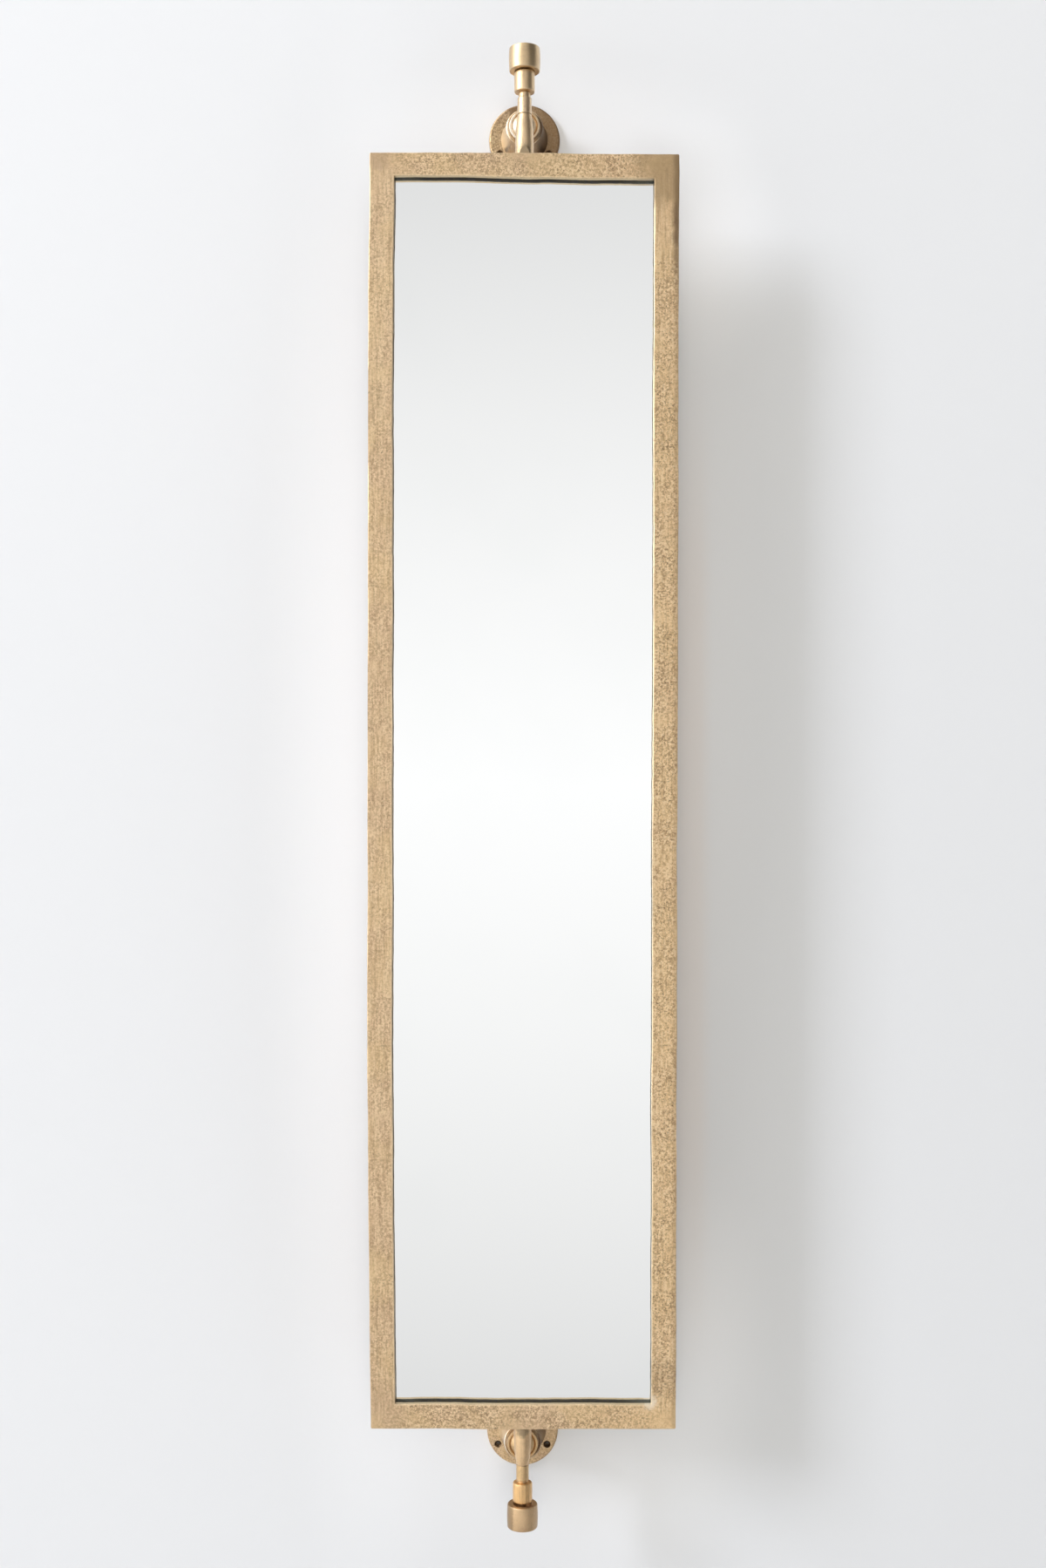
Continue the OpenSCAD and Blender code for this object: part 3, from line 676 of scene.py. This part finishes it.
def plate_finish(name, middle_z, shade, patina_and_shadow, countersink_shade, coarse):
    """The plate's cast brass, with painted shade in its countersinks and a browner patch at its right and
    top that is patina and painted shadow.
    """
    tan, pink, cream, brown = [tuple(part * shade for part in c) for c in (TAN, PINK, CREAM, BROWN)]
    made, place, fill = finish(name, metallic=1.0)
    mottle = cloud(place, 0.008, 3, 0.6)
    grain = cloud(place, 0.0011, 1, 0.5) * 0.45 + cloud(place, 0.0024, 1, 0.5) * 0.55
    pits = ramp(cloud(place, 0.0018, 3, 0.7), 0.56, 0.70)
    colour = tint(ramp(cloud(place, 0.02), 0.35, 0.65), tan, pink)
    colour = tint(ramp(grain, 0.48, 0.68) * coarse, colour, cream)
    colour = tint(ramp(grain + (mottle - 0.5) * 0.12, 0.54, 0.34) * coarse, colour, brown)
    colour = tint(pits * 0.35, colour, DARK)
    # Patina and painted shadow: browner towards the right, where the bell's shadow falls, and in a patch
    # near the top.
    right = ramp(along(place, 0) + (mottle - 0.5) * 0.02, -0.004, 0.030)
    top = nearness(place, (-0.006, -0.008, middle_z + 0.044), 0.026)
    colour = tint((right * patina_and_shadow).at_least(top * patina_and_shadow), colour, (0.27, 0.165, 0.085))
    # Painted shade in each countersink.
    for centre in hole_places(middle_z):
        gap = place.node("ShaderNodeVectorMath", {0: place, 1: (centre.x, -0.008, centre.z)},
                         output="Value", operation="DISTANCE")
        colour = tint(ramp(gap, COUNTERSINK + 0.0004, COUNTERSINK - 0.0008) * countersink_shade, colour, DARK)
    fill(Base_Color=colour, Roughness=0.42 + pits * 0.10,
         Normal=raised(grain, 0.00016, raised(mottle, 0.0005)))
    return made


def hole_places(middle_z):
    """The middles of a plate's screw holes, at the wall."""
    turns = [pi / 2 + i * 2 * pi / HOLES for i in range(HOLES)]
    return [Vector((HOLE_CIRCLE * cos(turn), 0, middle_z + HOLE_CIRCLE * sin(turn)))
            for turn in turns]


def combine(first, second, operation):
    """Joins two solids, or cuts the first with the second. Both are used up."""
    made = []
    for bm in (first, second):
        mesh = bpy.data.meshes.new("part")
        bm.to_mesh(mesh)
        bm.free()
        made.append(bpy.data.objects.new("part", mesh))
        bpy.context.scene.collection.objects.link(made[-1])
    tool = made[0].modifiers.new("tool", "BOOLEAN")
    tool.operation, tool.object, tool.solver = operation, made[1], "EXACT"
    bpy.context.view_layer.update()
    result = bmesh.new()
    result.from_object(made[0], bpy.context.evaluated_depsgraph_get())
    for part in made:
        bpy.data.objects.remove(part)
    return result


def on_wall(bm, height):
    """Stands a shape on the wall, with its +Z away from it."""
    bmesh.ops.rotate(bm, verts=bm.verts, matrix=Matrix.Rotation(pi / 2, 3, "X"))
    bmesh.ops.translate(bm, verts=bm.verts, vec=(0, 0, height))
    return bm


for side in ("upper", "lower"):
    low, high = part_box(side + "_wall_plate")
    plate_r, plate_t = high.x, -low.y
    plate_z = plate_middle(side)
    outline = [(0, 0), (plate_r - 0.0004, 0), (plate_r, 0.0004)]
    outline += curve((plate_r - PLATE_EDGE, plate_t - PLATE_EDGE), (PLATE_EDGE, PLATE_EDGE),
                     0, 90, 7)
    outline += [(plate_r * share, plate_t) for share in (0.9, 0.85, 0.8, 0.75, 0.7, 0.65)]
    outline += [(0, plate_t)]
    plate = revolve(outline, 160)
    wander(plate, 0.014, 0.00030, lambda co: 1.0 if co.z > 0.001 else 0.0)
    drill = revolve([(0, -0.001), (BOLT_HEAD_HOLE, -0.001), (BOLT_HEAD_HOLE, BOLT_HEAD_DEEP),
                     (BOLT_HOLE, BOLT_HEAD_DEEP), (BOLT_HOLE, plate_t + 0.001),
                     (0, plate_t + 0.001)], 64)
    plate = combine(plate, drill, "DIFFERENCE")
    on_wall(plate, plate_z)
    for centre in hole_places(plate_z):
        sunk = COUNTERSINK - HOLE
        drill = revolve([(0, -0.001), (HOLE, -0.001), (HOLE, plate_t - sunk),
                         (COUNTERSINK + 0.001, plate_t + 0.001), (0, plate_t + 0.001)], 48)
        on_wall(drill, centre.z)
        bmesh.ops.translate(drill, verts=drill.verts, vec=(centre.x, 0, 0))
        plate = combine(plate, drill, "DIFFERENCE")
    brass = plate_finish(side + "_plate_brass", plate_z, *PLATE_LOOKS[side])
    add_piece(side + "_wall_plate_cast", plate, "wall_brackets", "cast_brass", brass,
              side + "_wall_plate")

# ---- Bells --------------------------------------------------------------------------------
# A hollow bell, turned from bar, stands on each plate. Its lip is rolled round the arm's foot.

BELL_WALL = 0.004
LIP_ROLL = 0.0026      # width of the rolled lip
BELL_SEAT = 0.0035     # depth of the seat inside the lip
BELL_FLOOR = 0.006
BELL_LIP = 0.0242      # radius of the lip
BELL_CURVE = 1.8       # how fast the bell narrows

# Painted light and shade: a highlight at each bell's left, shade at its right.
lit_and_shaded = ((-0.018, -0.024, 0.85, (1.0, 0.92, 0.78)),
                  (0.010, 0.024, 0.92, (0.14, 0.085, 0.05)))
bell_brass = turned_brass("bell_brass", (0.75, 0.57, 0.365), (0.34, 0.23, 0.135),
                          (0.15, 1, 0.15), speckle=0.32, rough=0.36, sides=lit_and_shaded)
for side in ("upper", "lower"):
    low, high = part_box(side + "_bell")
    foot, top, base = high.x, -low.y, -high.y
    tall = top - base
    roll = LIP_ROLL / 2
    share = [i / 20 for i in range(21)]
    radius = [BELL_LIP + (foot - BELL_LIP) * (1 - t) ** BELL_CURVE for t in share]
    outside = [(r, base + (tall - roll) * t) for r, t in zip(radius, share)]
    inside_tall = tall - BELL_SEAT - BELL_FLOOR
    inside = [(BELL_LIP + (foot - BELL_LIP) * (1 - t * inside_tall / tall) ** BELL_CURVE - BELL_WALL,
               base + inside_tall * t) for t in reversed(share)]
    outline = outside + curve((BELL_LIP - roll, top - roll), (roll, roll), 0, 180, 10)[1:]
    outline += [(BELL_LIP - LIP_ROLL, top - BELL_SEAT), (BOLT_HOLE, top - BELL_SEAT),
                (BOLT_HOLE, top - BELL_SEAT - BELL_FLOOR)] + inside
    bell = revolve(outline, 112)
    wander(bell, 0.02, 0.00012)
    on_wall(bell, (low.z + high.z) / 2)
    add_piece(side + "_bell_turned", bell, "wall_brackets", "turned_brass", bell_brass,
              side + "_bell")

# ---- Arm bolts ----------------------------------------------------------------------------
# A steel socket-head bolt holds plate, bell and arm together from behind.

for side in ("upper", "lower"):
    bolt = from_cad(side + "_arm_bolt")
    round_edges(bolt, crisp(bolt), 0.0003, 2)
    add_piece(side + "_arm_bolt_steel", bolt, "wall_brackets", "steel", steel, side + "_arm_bolt")

# ---- Arms ---------------------------------------------------------------------------------
# A domed foot sits in the bell. From its dome a tapered rod reaches to a tapped eye, brazed
# on its end, in which the pivot screw turns.

FOOT_SEAT = 0.0470     # the foot's back, from the wall
FOOT_FRONT = 0.0575
FOOT_R = 0.0200
FOOT_BEVEL = 0.0010
GROOVE = 0.0015        # depth of the groove round the dome
DOME_R = 0.0164
DOME_HIGH = 0.0090
ROD_R = 0.0090
ROD_TIP_R = 0.0070
ARM_FALL = 0.0054      # how far the eye hangs below the plate's middle
EYE_R = {"upper": 0.0089, "lower": 0.0079}
EYE_HIGH = {"upper": 0.0202, "lower": 0.0184}
EYE_BEVEL = 0.0003
EYE_BORE = 0.00605
BRAZE = 0.0016         # fillet at the rod's end by the dome
EYE_BRAZE = 0.0004     # and by the eye
ARM_BRASS = {"upper": (0.82, 0.62, 0.39), "lower": (0.74, 0.51, 0.255)}
ARM_ROUGH = {"upper": 0.34, "lower": 0.48}
# A painted highlight at the left of the upper arm's dome.
LIT_DOME = {"upper": ((-0.0095, -0.0135, 0.7, (1.0, 0.93, 0.82)),), "lower": ()}

for side in ("upper", "lower"):
    plate_z = plate_middle(side)
    ball = (DOME_R ** 2 + DOME_HIGH ** 2) / (2 * DOME_HIGH)
    top_turn = 90 - degrees(atan(DOME_R / (ball - DOME_HIGH)))
    floor_at = FOOT_FRONT - GROOVE
    foot = revolve([(0, FOOT_SEAT), (FOOT_R, FOOT_SEAT), (FOOT_R, FOOT_FRONT - FOOT_BEVEL),
                    (FOOT_R - FOOT_BEVEL * 0.35, FOOT_FRONT - FOOT_BEVEL * 0.3),
                    (FOOT_R - FOOT_BEVEL, FOOT_FRONT), (DOME_R + 0.0009, FOOT_FRONT),
                    (DOME_R + 0.0004, FOOT_FRONT - 0.0005), (DOME_R, floor_at)]
                   + curve((0, floor_at + DOME_HIGH - ball), (ball, ball), top_turn, 90, 12)[1:-1]
                   + [(0, floor_at + DOME_HIGH)], 96)
    on_wall(foot, plate_z)
    tilt = atan(ARM_FALL / (-pivot_y - FOOT_FRONT))
    rod_l = (-pivot_y - FOOT_FRONT) / cos(tilt)
    dome_at = DOME_HIGH - GROOVE - 0.003
    eye_at = rod_l - EYE_R[side]
    rod = revolve([(0, 0), (ROD_R, 0), (ROD_R, dome_at), (ROD_R + BRAZE, dome_at + 0.0008),
                   (ROD_R + BRAZE * 0.35, dome_at + 0.0020), (ROD_R - 0.0002, dome_at + 0.0042),
                   (ROD_TIP_R + 0.0001, eye_at - 0.0035), (ROD_TIP_R + EYE_BRAZE, eye_at),
                   (ROD_TIP_R, rod_l - 0.004), (0, rod_l - 0.004)], 64)
    bmesh.ops.rotate(rod, verts=rod.verts, matrix=Matrix.Rotation(pi / 2 + tilt, 3, "X"))
    bmesh.ops.translate(rod, verts=rod.verts, vec=(0, -FOOT_FRONT, plate_z))
    eye_z = plate_z - ARM_FALL
    eye_r, eye_h = EYE_R[side], EYE_HIGH[side]
    eye = revolve([(0, -eye_h / 2), (eye_r - EYE_BEVEL, -eye_h / 2),
                   (eye_r, EYE_BEVEL - eye_h / 2), (eye_r, eye_h / 2 - EYE_BEVEL),
                   (eye_r - EYE_BEVEL, eye_h / 2), (0, eye_h / 2)], 80)
    on_pivot(eye, eye_z, 1)
    bore = revolve([(0, -eye_h), (EYE_BORE, -eye_h), (EYE_BORE, eye_h), (0, eye_h)], 64)
    on_pivot(bore, eye_z, 1)
    arm = combine(combine(combine(foot, rod, "UNION"), eye, "UNION"), bore, "DIFFERENCE")
    arm_brass = turned_brass(side + "_arm_brass", ARM_BRASS[side], (0.36, 0.24, 0.14),
                             (0.4, 1, 0.4), speckle=0.42, streak=0.25, rough=ARM_ROUGH[side],
                             sides=LIT_DOME[side])
    add_piece(side + "_arm_brazed", arm, "wall_brackets", "turned_brass", arm_brass, side + "_arm")

# ---- Washers and bushes -------------------------------------------------------------------
# A brass washer lies between each stub and eye, and a nylon bush runs on each screw's journal.

washer_brass = turned_brass("washer_brass", (0.58, 0.42, 0.25), (0.34, 0.23, 0.13), (0.3, 0.3, 1),
                            speckle=0.25, rough=0.44)
nylon, place, fill = finish("bush_nylon", Subsurface_Weight=0.15)
fill(Base_Color=tint(cloud(place, 0.003, 3), (0.80, 0.78, 0.70), (0.88, 0.86, 0.79)),
     Roughness=0.40 + cloud(place, 0.001) * 0.15)
for side, rides_on in (("upper", "mirror_frame"), ("lower", "wall_brackets")):
    for part, material, slot, body in (("washer", washer_brass, "turned_brass", rides_on),
                                       ("bush", nylon, "nylon", side + "_bush_carrier")):
        piece = from_cad(side + "_" + part)
        round_edges(piece, crisp(piece), 0.0002, 2)
        add_piece(side + "_" + part + "_turned", piece, body, slot, material, side + "_" + part)

# ---- Pivot screws -------------------------------------------------------------------------
# One turned piece: a peened tip, a plain journal for the bush, the thread in the arm's eye, a
# neck that shows above it, and a stud on which collar and cap are fitted.

JOURNAL_R = 0.0040
PEEN_R = 0.004825
PEEN_HIGH = 0.0015
THREAD_R = 0.0060
THREAD_DEEP = 0.0009
LEAD = 0.0020          # travel in one turn
THREAD_CREST = 0.16    # share of the lead that the crest takes
THREAD_ROWS = 10       # rows of points in one lead
NECK_R = {"upper": 0.0074, "lower": 0.0071}
NECK_HIGH = {"upper": 0.0071, "lower": 0.0030}
STUD_R = 0.0050


def cut_thread(bm):
    """Sinks a helical groove into the rows of points that lie on the thread's outside."""
    for v in bm.verts:
        if v.co.z > 0 and abs(hypot(v.co.x, v.co.y) - THREAD_R) < 1e-6:
            turn = (v.co.z / LEAD - atan2(v.co.y, v.co.x) / (2 * pi)) % 1
            groove = max(0.0, abs(2 * turn - 1) - THREAD_CREST) / (1 - THREAD_CREST)
            v.co.xy *= 1 - THREAD_DEEP / THREAD_R * groove


pin_brass = turned_brass("pin_brass", (0.78, 0.575, 0.335), (0.34, 0.22, 0.12), (0.2, 0.2, 1),
                         speckle=0.3, rough=0.32)
for side, outward in (("upper", 1), ("lower", -1)):
    low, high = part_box(side + "_pivot_pin")
    tip, end = (low.z, high.z) if outward > 0 else (high.z, low.z)
    seam = plate_middle(side) - ARM_FALL - outward * EYE_HIGH[side] / 2
    eye_h, neck_r, neck_top = EYE_HIGH[side], NECK_R[side], EYE_HIGH[side] + NECK_HIGH[side]
    first, last = -abs(tip - seam), abs(end - seam)
    rows = round(eye_h / LEAD * THREAD_ROWS)
    thread = [(THREAD_R, 0.0002 + eye_h * i / rows) for i in range(rows + 1)]
    journal = [(0, first), (PEEN_R - 0.0004, first), (PEEN_R, first + 0.0004),
               (PEEN_R, first + PEEN_HIGH), (JOURNAL_R, first + PEEN_HIGH), (JOURNAL_R, -0.0006),
               (THREAD_R - THREAD_DEEP, 0)]
    neck = [(neck_r - 0.0005, eye_h + 0.0003), (neck_r, eye_h + 0.0008),
            (neck_r, neck_top - 0.0006), (neck_r - 0.0005, neck_top - 0.0001)]
    stud = [(STUD_R, neck_top - 0.0001), (STUD_R, last - 0.0005), (STUD_R - 0.0005, last),
            (0, last)]
    pin = revolve(journal + thread + neck + stud, 72)
    cut_thread(pin)
    on_pivot(pin, seam, outward)
    add_piece(side + "_pivot_pin_turned", pin, side + "_pivot_screw", "turned_brass", pin_brass,
              side + "_pivot_pin")

# ---- Collars ------------------------------------------------------------------------------
# Turned collars between the arm's eye and the cap. The lower one is filed in narrow flats, and
# its metal is a warmer gold.

COLLAR_BEVEL = 0.0016
COLLAR_HOLE = 0.00505
FLATS = 15             # filed flats round the lower collar
FLAT_DEEP = 0.00028    # how deep a flat is filed
COLLAR_BRASS = {"upper": (0.82, 0.60, 0.35), "lower": (0.87, 0.56, 0.25)}
COLLAR_ROUGH = {"upper": 0.33, "lower": 0.50}


def collar_shape(radius, tall, bevel):
    """A short tube with rounded edges, bored for the stud."""
    outline = [(COLLAR_HOLE, 0), (radius - bevel, 0), (radius - bevel * 0.35, bevel * 0.3),
               (radius, bevel)]
    outline += [(radius, tall * share) for share in (0.25, 0.5, 0.75)]
    outline += [(radius, tall - bevel), (radius - bevel * 0.35, tall - bevel * 0.3),
                (radius - bevel, tall), (COLLAR_HOLE, tall)]
    return revolve(outline, 120)


for side, outward in (("upper", 1), ("lower", -1)):
    low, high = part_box(side + "_collar")
    start = low.z if outward > 0 else high.z
    radius, tall = high.x, high.z - low.z
    collar = collar_shape(radius, tall, COLLAR_BEVEL)
    if side == "lower":
        for v in collar.verts:
            reach = hypot(v.co.x, v.co.y)
            if reach > radius - 0.001:
                turn = Vector((v.co.x, v.co.y)).angle_signed(Vector((1, 0))) / (2 * pi)
                angle = turn * FLATS % 1 - 0.5
                v.co.xy *= 1 - FLAT_DEEP / radius * (1 - (2 * abs(angle)) ** 2)
    wander(collar, 0.011, 0.00015,
           lambda co: 1.0 if hypot(co.x, co.y) > COLLAR_HOLE + 0.001 else 0.0)
    on_pivot(collar, start, outward)
    collar_brass = turned_brass(side + "_collar_brass", COLLAR_BRASS[side], (0.40, 0.255, 0.14),
                                (1, 1, 0.12), speckle=0.22, streak=0.35,
                                rough=COLLAR_ROUGH[side])
    add_piece(side + "_collar_turned", collar, side + "_pivot_screw", "turned_brass",
              collar_brass, side + "_collar")

# ---- Caps ---------------------------------------------------------------------------------
# Turned knobs on the ends of the studs, slightly barrelled and hollow underneath. The upper
# one is smooth, and the lower one has a rough, stained hollow.

CAP_EDGE = 0.0014
CAP_BULGE = 0.0005
CAP_HOLLOW = 0.0070
HOLLOW_STEP = 0.0006   # how much narrower the hollow is than the collar
CAP_INSIDE = 0.0002    # how far a cap stays inside its solid, as it wanders
STUD_HOLE = 0.0105     # depth of the stud's hole, behind the hollow
CAP_BRASS = {"upper": (0.75, 0.55, 0.315), "lower": (0.72, 0.50, 0.28)}
CAP_LINES = {"upper": (0.15, 0.15, 1), "lower": (1, 1, 0.12)}
CAP_SPECKLE = {"upper": 0.15, "lower": 0.30}
CAP_ROUGH = {"upper": 0.32, "lower": 0.50}

for side, outward in (("upper", 1), ("lower", -1)):
    low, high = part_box(side + "_cap")
    start = low.z if outward > 0 else high.z
    radius, tall = high.x - CAP_INSIDE, high.z - low.z - CAP_INSIDE
    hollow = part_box(side + "_collar")[1].x - HOLLOW_STEP
    hole_end = CAP_HOLLOW + STUD_HOLE
    bulge = [(radius - CAP_BULGE * (2 * t - 1) ** 2, CAP_EDGE + (tall - 2 * CAP_EDGE) * t)
             for t in [i / 14 for i in range(1, 14)]]
    corner_r = radius - CAP_EDGE - CAP_BULGE
    outline = [(hollow, 0.0003), (hollow + 0.0003, 0)]
    outline += curve((corner_r, CAP_EDGE), (CAP_EDGE, CAP_EDGE), -90, 0, 6) + bulge
    outline += curve((corner_r, tall - CAP_EDGE), (CAP_EDGE, CAP_EDGE), 0, 90, 6)
    outline += [(radius * share, tall) for share in (0.6, 0.3)]
    outline += [(0, tall), (0, hole_end), (COLLAR_HOLE, hole_end), (COLLAR_HOLE, CAP_HOLLOW),
                (hollow, CAP_HOLLOW)]
    cap = revolve(outline, 120)
    wander(cap, 0.013, 0.00016,
           lambda co: 1.0 if hypot(co.x, co.y) > COLLAR_HOLE + 0.001 else 0.0)
    on_pivot(cap, start, outward)
    rim_z, end_z = start + outward * 0.001, start + outward * tall
    stains = edges = ()
    if side == "lower":
        stains = ((Vector((0.007, pivot_y - 0.009, rim_z)), 0.008, 0.75, (0.24, 0.12, 0.07)),
                  (Vector((0, pivot_y - 0.016, end_z)), 0.010, 0.35, (0.42, 0.24, 0.14)))
        # The last three are painted shade: the lower cap darker at its left edge, towards its left, and at
        # its right side.
        edges = ((-0.0108, -0.0128, 0.80, (0.31, 0.205, 0.105)),
                 (0.004, -0.009, 0.25, (0.46, 0.315, 0.175)),
                 (0.011, 0.018, 0.35, (0.42, 0.27, 0.15)))
    cap_brass = turned_brass(side + "_cap_brass", CAP_BRASS[side], (0.38, 0.26, 0.16),
                             CAP_LINES[side], speckle=CAP_SPECKLE[side], rough=CAP_ROUGH[side],
                             stain_and_shade_spots=stains, sides=edges)
    add_piece(side + "_cap_turned", cap, side + "_pivot_screw", "turned_brass", cap_brass,
              side + "_cap")

# ---- Stage --------------------------------------------------------------------------------
# A white wall, a pale floor, one large soft lamp from the left and above, and a white studio. Some light
# and shade round the mirror is painted into the wall's colour.

WALL_GAP = 0.0006      # the wall stands just behind the wall plates
FLOOR_DROP = 0.60      # the floor, below the lower bracket
LAMP_WAY = Vector((-0.746, -0.497, 0.443))    # from the mirror to the lamp
LAMP_DISTANCE = 16
LAMP_SIZE = (3.7, 6.4)
LAMP_POWER = 1640
FILL = 0.364           # light from all of the studio on every surface
FRONT = 5.8            # more light from straight in front
SHADOW_TINT = (1.0, 0.980, 0.935)
LAMP_TINT = (0.86, 0.90, 1.0)
THROWN = [             # light that the brass throws on the wall: middle x, z, half size, strength
    (-0.20, 0.80, 0.17, 1.25, 0.80),
    (0.03, 1.72, 0.34, 0.12, 0.42),
    (0.235, 1.58, 0.13, 0.20, 0.66),
    (0.24, 0.13, 0.11, 0.26, 0.42),
    (0.24, 1.00, 0.09, 0.70, 0.26),
    (0.15, -0.07, 0.20, 0.16, 0.52),
    (-0.08, -0.06, 0.24, 0.14, 0.12),
]
HOLE_SHADE_RADIUS = 0.0040     # radius of the dark spots of painted shade on the wall, behind the plates' screw holes
CAMERA_AT = (-0.00066, -2.327, 0.8587)
CAMERA_ROLL = -0.085   # degrees
CAMERA_LENS = 40.06    # mm, on a sensor 36 mm wide


def sheet(name, wide, high, turn, place_at):
    """A flat stage piece, facing along -Y after its turn."""
    bm = bmesh.new()
    bmesh.ops.create_grid(bm, x_segments=1, y_segments=1, size=0.5)
    bmesh.ops.scale(bm, verts=bm.verts, vec=(wide, high, 1))
    bmesh.ops.rotate(bm, verts=bm.verts, matrix=Matrix.Rotation(turn, 3, "X"))
    bmesh.ops.translate(bm, verts=bm.verts, vec=place_at)
    mesh = bpy.data.meshes.new(name)
    bm.to_mesh(mesh)
    bm.free()
    made = bpy.data.objects.new(name, mesh)
    bpy.context.scene.collection.objects.link(made)
    return made


def mixed(mask, first, second):
    """One shader where the mask is 0, the other where it is 1."""
    return mask.node("ShaderNodeMixShader", {0: mask, 1: first, 2: second})


paint = bpy.data.materials.new("wall_paint")
paint.use_nodes = True
tree = Wire(paint.node_tree)
wall_place = tree.node("ShaderNodeTexCoord", output="Object")
# Painted light: the wall is a little lighter towards the left, as the lamp's falloff would make it.
shade = ramp(along(wall_place, 0), 1.3, -1.3)
colour = tint(shade, (0.750, 0.754, 0.758), (0.804, 0.807, 0.810))
for centre_x, centre_z, wide, high, light in THROWN:
    gap = wall_place.node("ShaderNodeVectorMath", {
        0: stretch(wall_place, 1 / wide, 0, 1 / high), 1: (centre_x / wide, 0, centre_z / high)},
        output="Value", operation="DISTANCE")
    colour = tint(ramp(gap, 1, 0) * light, colour, (1, 1, 1))
# Painted shade: dark spots on the wall behind the plates' screw holes.
for centre in hole_places(plate_middle("lower")) + hole_places(plate_middle("upper")):
    gap = wall_place.node("ShaderNodeVectorMath", {
        0: stretch(wall_place, 1, 0, 1), 1: (centre.x, 0, centre.z)},
        output="Value", operation="DISTANCE")
    colour = tint(ramp(gap, HOLE_SHADE_RADIUS, HOLE_SHADE_RADIUS * 0.75) * 0.85, colour, (0.10, 0.08, 0.06))
# Painted reflection: a warm strip on the wall, in the shadow beside the right stile, as the brass would
# throw.
brass_reflection_tint = ramp(abs(along(wall_place, 0) - 0.222), 0.034, 0.008)
brass_reflection_tint = brass_reflection_tint * ramp(abs(along(wall_place, 2) - 0.75), 0.72, 0.30)
colour = tint(brass_reflection_tint * 0.24, colour, (0.84, 0.68, 0.56))
matt = tree.node("ShaderNodeBsdfDiffuse", {"Color": colour})
seen_from_behind = tree.node("ShaderNodeNewGeometry", output="Backfacing")
surface = mixed(seen_from_behind, matt, tree.node("ShaderNodeBsdfTransparent"))
paint.node_tree.links.new(surface.socket, paint.node_tree.nodes["Material Output"].inputs[0])
wall = sheet("wall", 14, 8, pi / 2, (0, WALL_GAP, 3.4 - FLOOR_DROP))
wall.data.materials.append(paint)

floor_paint = bpy.data.materials.new("floor_paint")
floor_paint.use_nodes = True
tree = Wire(floor_paint.node_tree)
floor_place = tree.node("ShaderNodeTexCoord", output="Object")
pale = tint(cloud(floor_place, 0.8), (0.80, 0.80, 0.79), (0.84, 0.84, 0.83))
matt = tree.node("ShaderNodeBsdfDiffuse", {"Color": pale})
surface = mixed(tree.node("ShaderNodeLightPath", output="Is Glossy Ray"), matt,
                tree.node("ShaderNodeBsdfTransparent"))
floor_paint.node_tree.links.new(surface.socket, floor_paint.node_tree.nodes["Material Output"].inputs[0])
floor = sheet("floor", 30, 30, 0, (0, 0, -FLOOR_DROP))
floor.data.materials.append(floor_paint)

lamp = bpy.data.objects.new("soft_lamp", bpy.data.lights.new("soft_lamp", "AREA"))
bpy.context.scene.collection.objects.link(lamp)
lamp.data.shape = "RECTANGLE"
lamp.data.size, lamp.data.size_y = LAMP_SIZE
lamp.data.energy = LAMP_POWER
lamp.data.color = LAMP_TINT
lamp.visible_glossy = False
lamp.location = middle + LAMP_WAY.normalized() * LAMP_DISTANCE
lamp.rotation_euler = LAMP_WAY.to_track_quat("Z", "Y").to_euler()

studio = bpy.data.worlds.new("studio")
bpy.context.scene.world = studio
studio.use_nodes = True
tree = Wire(studio.node_tree)
way = tree.node("ShaderNodeTexCoord", output="Generated")
to_right, to_back, to_top = along(way, 0), along(way, 1), along(way, 2)
bearing = to_right.sum("ARCTAN2", to_right, 0 - to_back)
steep = abs(to_top)
ahead = (1.035 - steep * 0.54 - steep * steep * 0.78).at_least(0.70)
above = ramp(to_top, -0.25, 0.20)
right_side = ramp(bearing, 0.05, 0.70) * (1 - ramp(bearing, 1.55, 2.25)) * (above * 0.35 + 0.45)
left_glow = (ramp(abs(bearing + 1.05), 0.60, 0.08) * 2.4 + ramp(bearing, -0.45, -0.95)) * above
gloss = ahead * (1 - right_side) + left_glow
front = ramp(abs(bearing), 0.30, 0.05) * ramp(steep, 0.55, 0.20)
seen = tree.node("ShaderNodeLightPath", output="Is Camera Ray")
mirrored = tree.node("ShaderNodeLightPath", output="Is Glossy Ray")
through = tree.node("ShaderNodeLightPath", output="Is Transmission Ray")
level = mirrored * gloss + (1 - mirrored) * (front * FRONT + FILL)
white = seen.at_least(mirrored).at_least(through)
level = level.at_least(seen.at_least(through))
background = studio.node_tree.nodes["Background"]
studio.node_tree.links.new(tint(white, SHADOW_TINT, (1, 1, 1)).socket, background.inputs["Color"])
studio.node_tree.links.new(level.socket, background.inputs["Strength"])
bpy.context.scene.view_settings.view_transform = "Standard"

camera = bpy.data.objects.new("camera", bpy.data.cameras.new("camera"))
bpy.context.scene.collection.objects.link(camera)
camera.location = CAMERA_AT
camera.rotation_euler = (pi / 2, radians(CAMERA_ROLL), 0)
camera.data.lens = CAMERA_LENS
camera.data.sensor_width = 36
bpy.context.scene.camera = camera
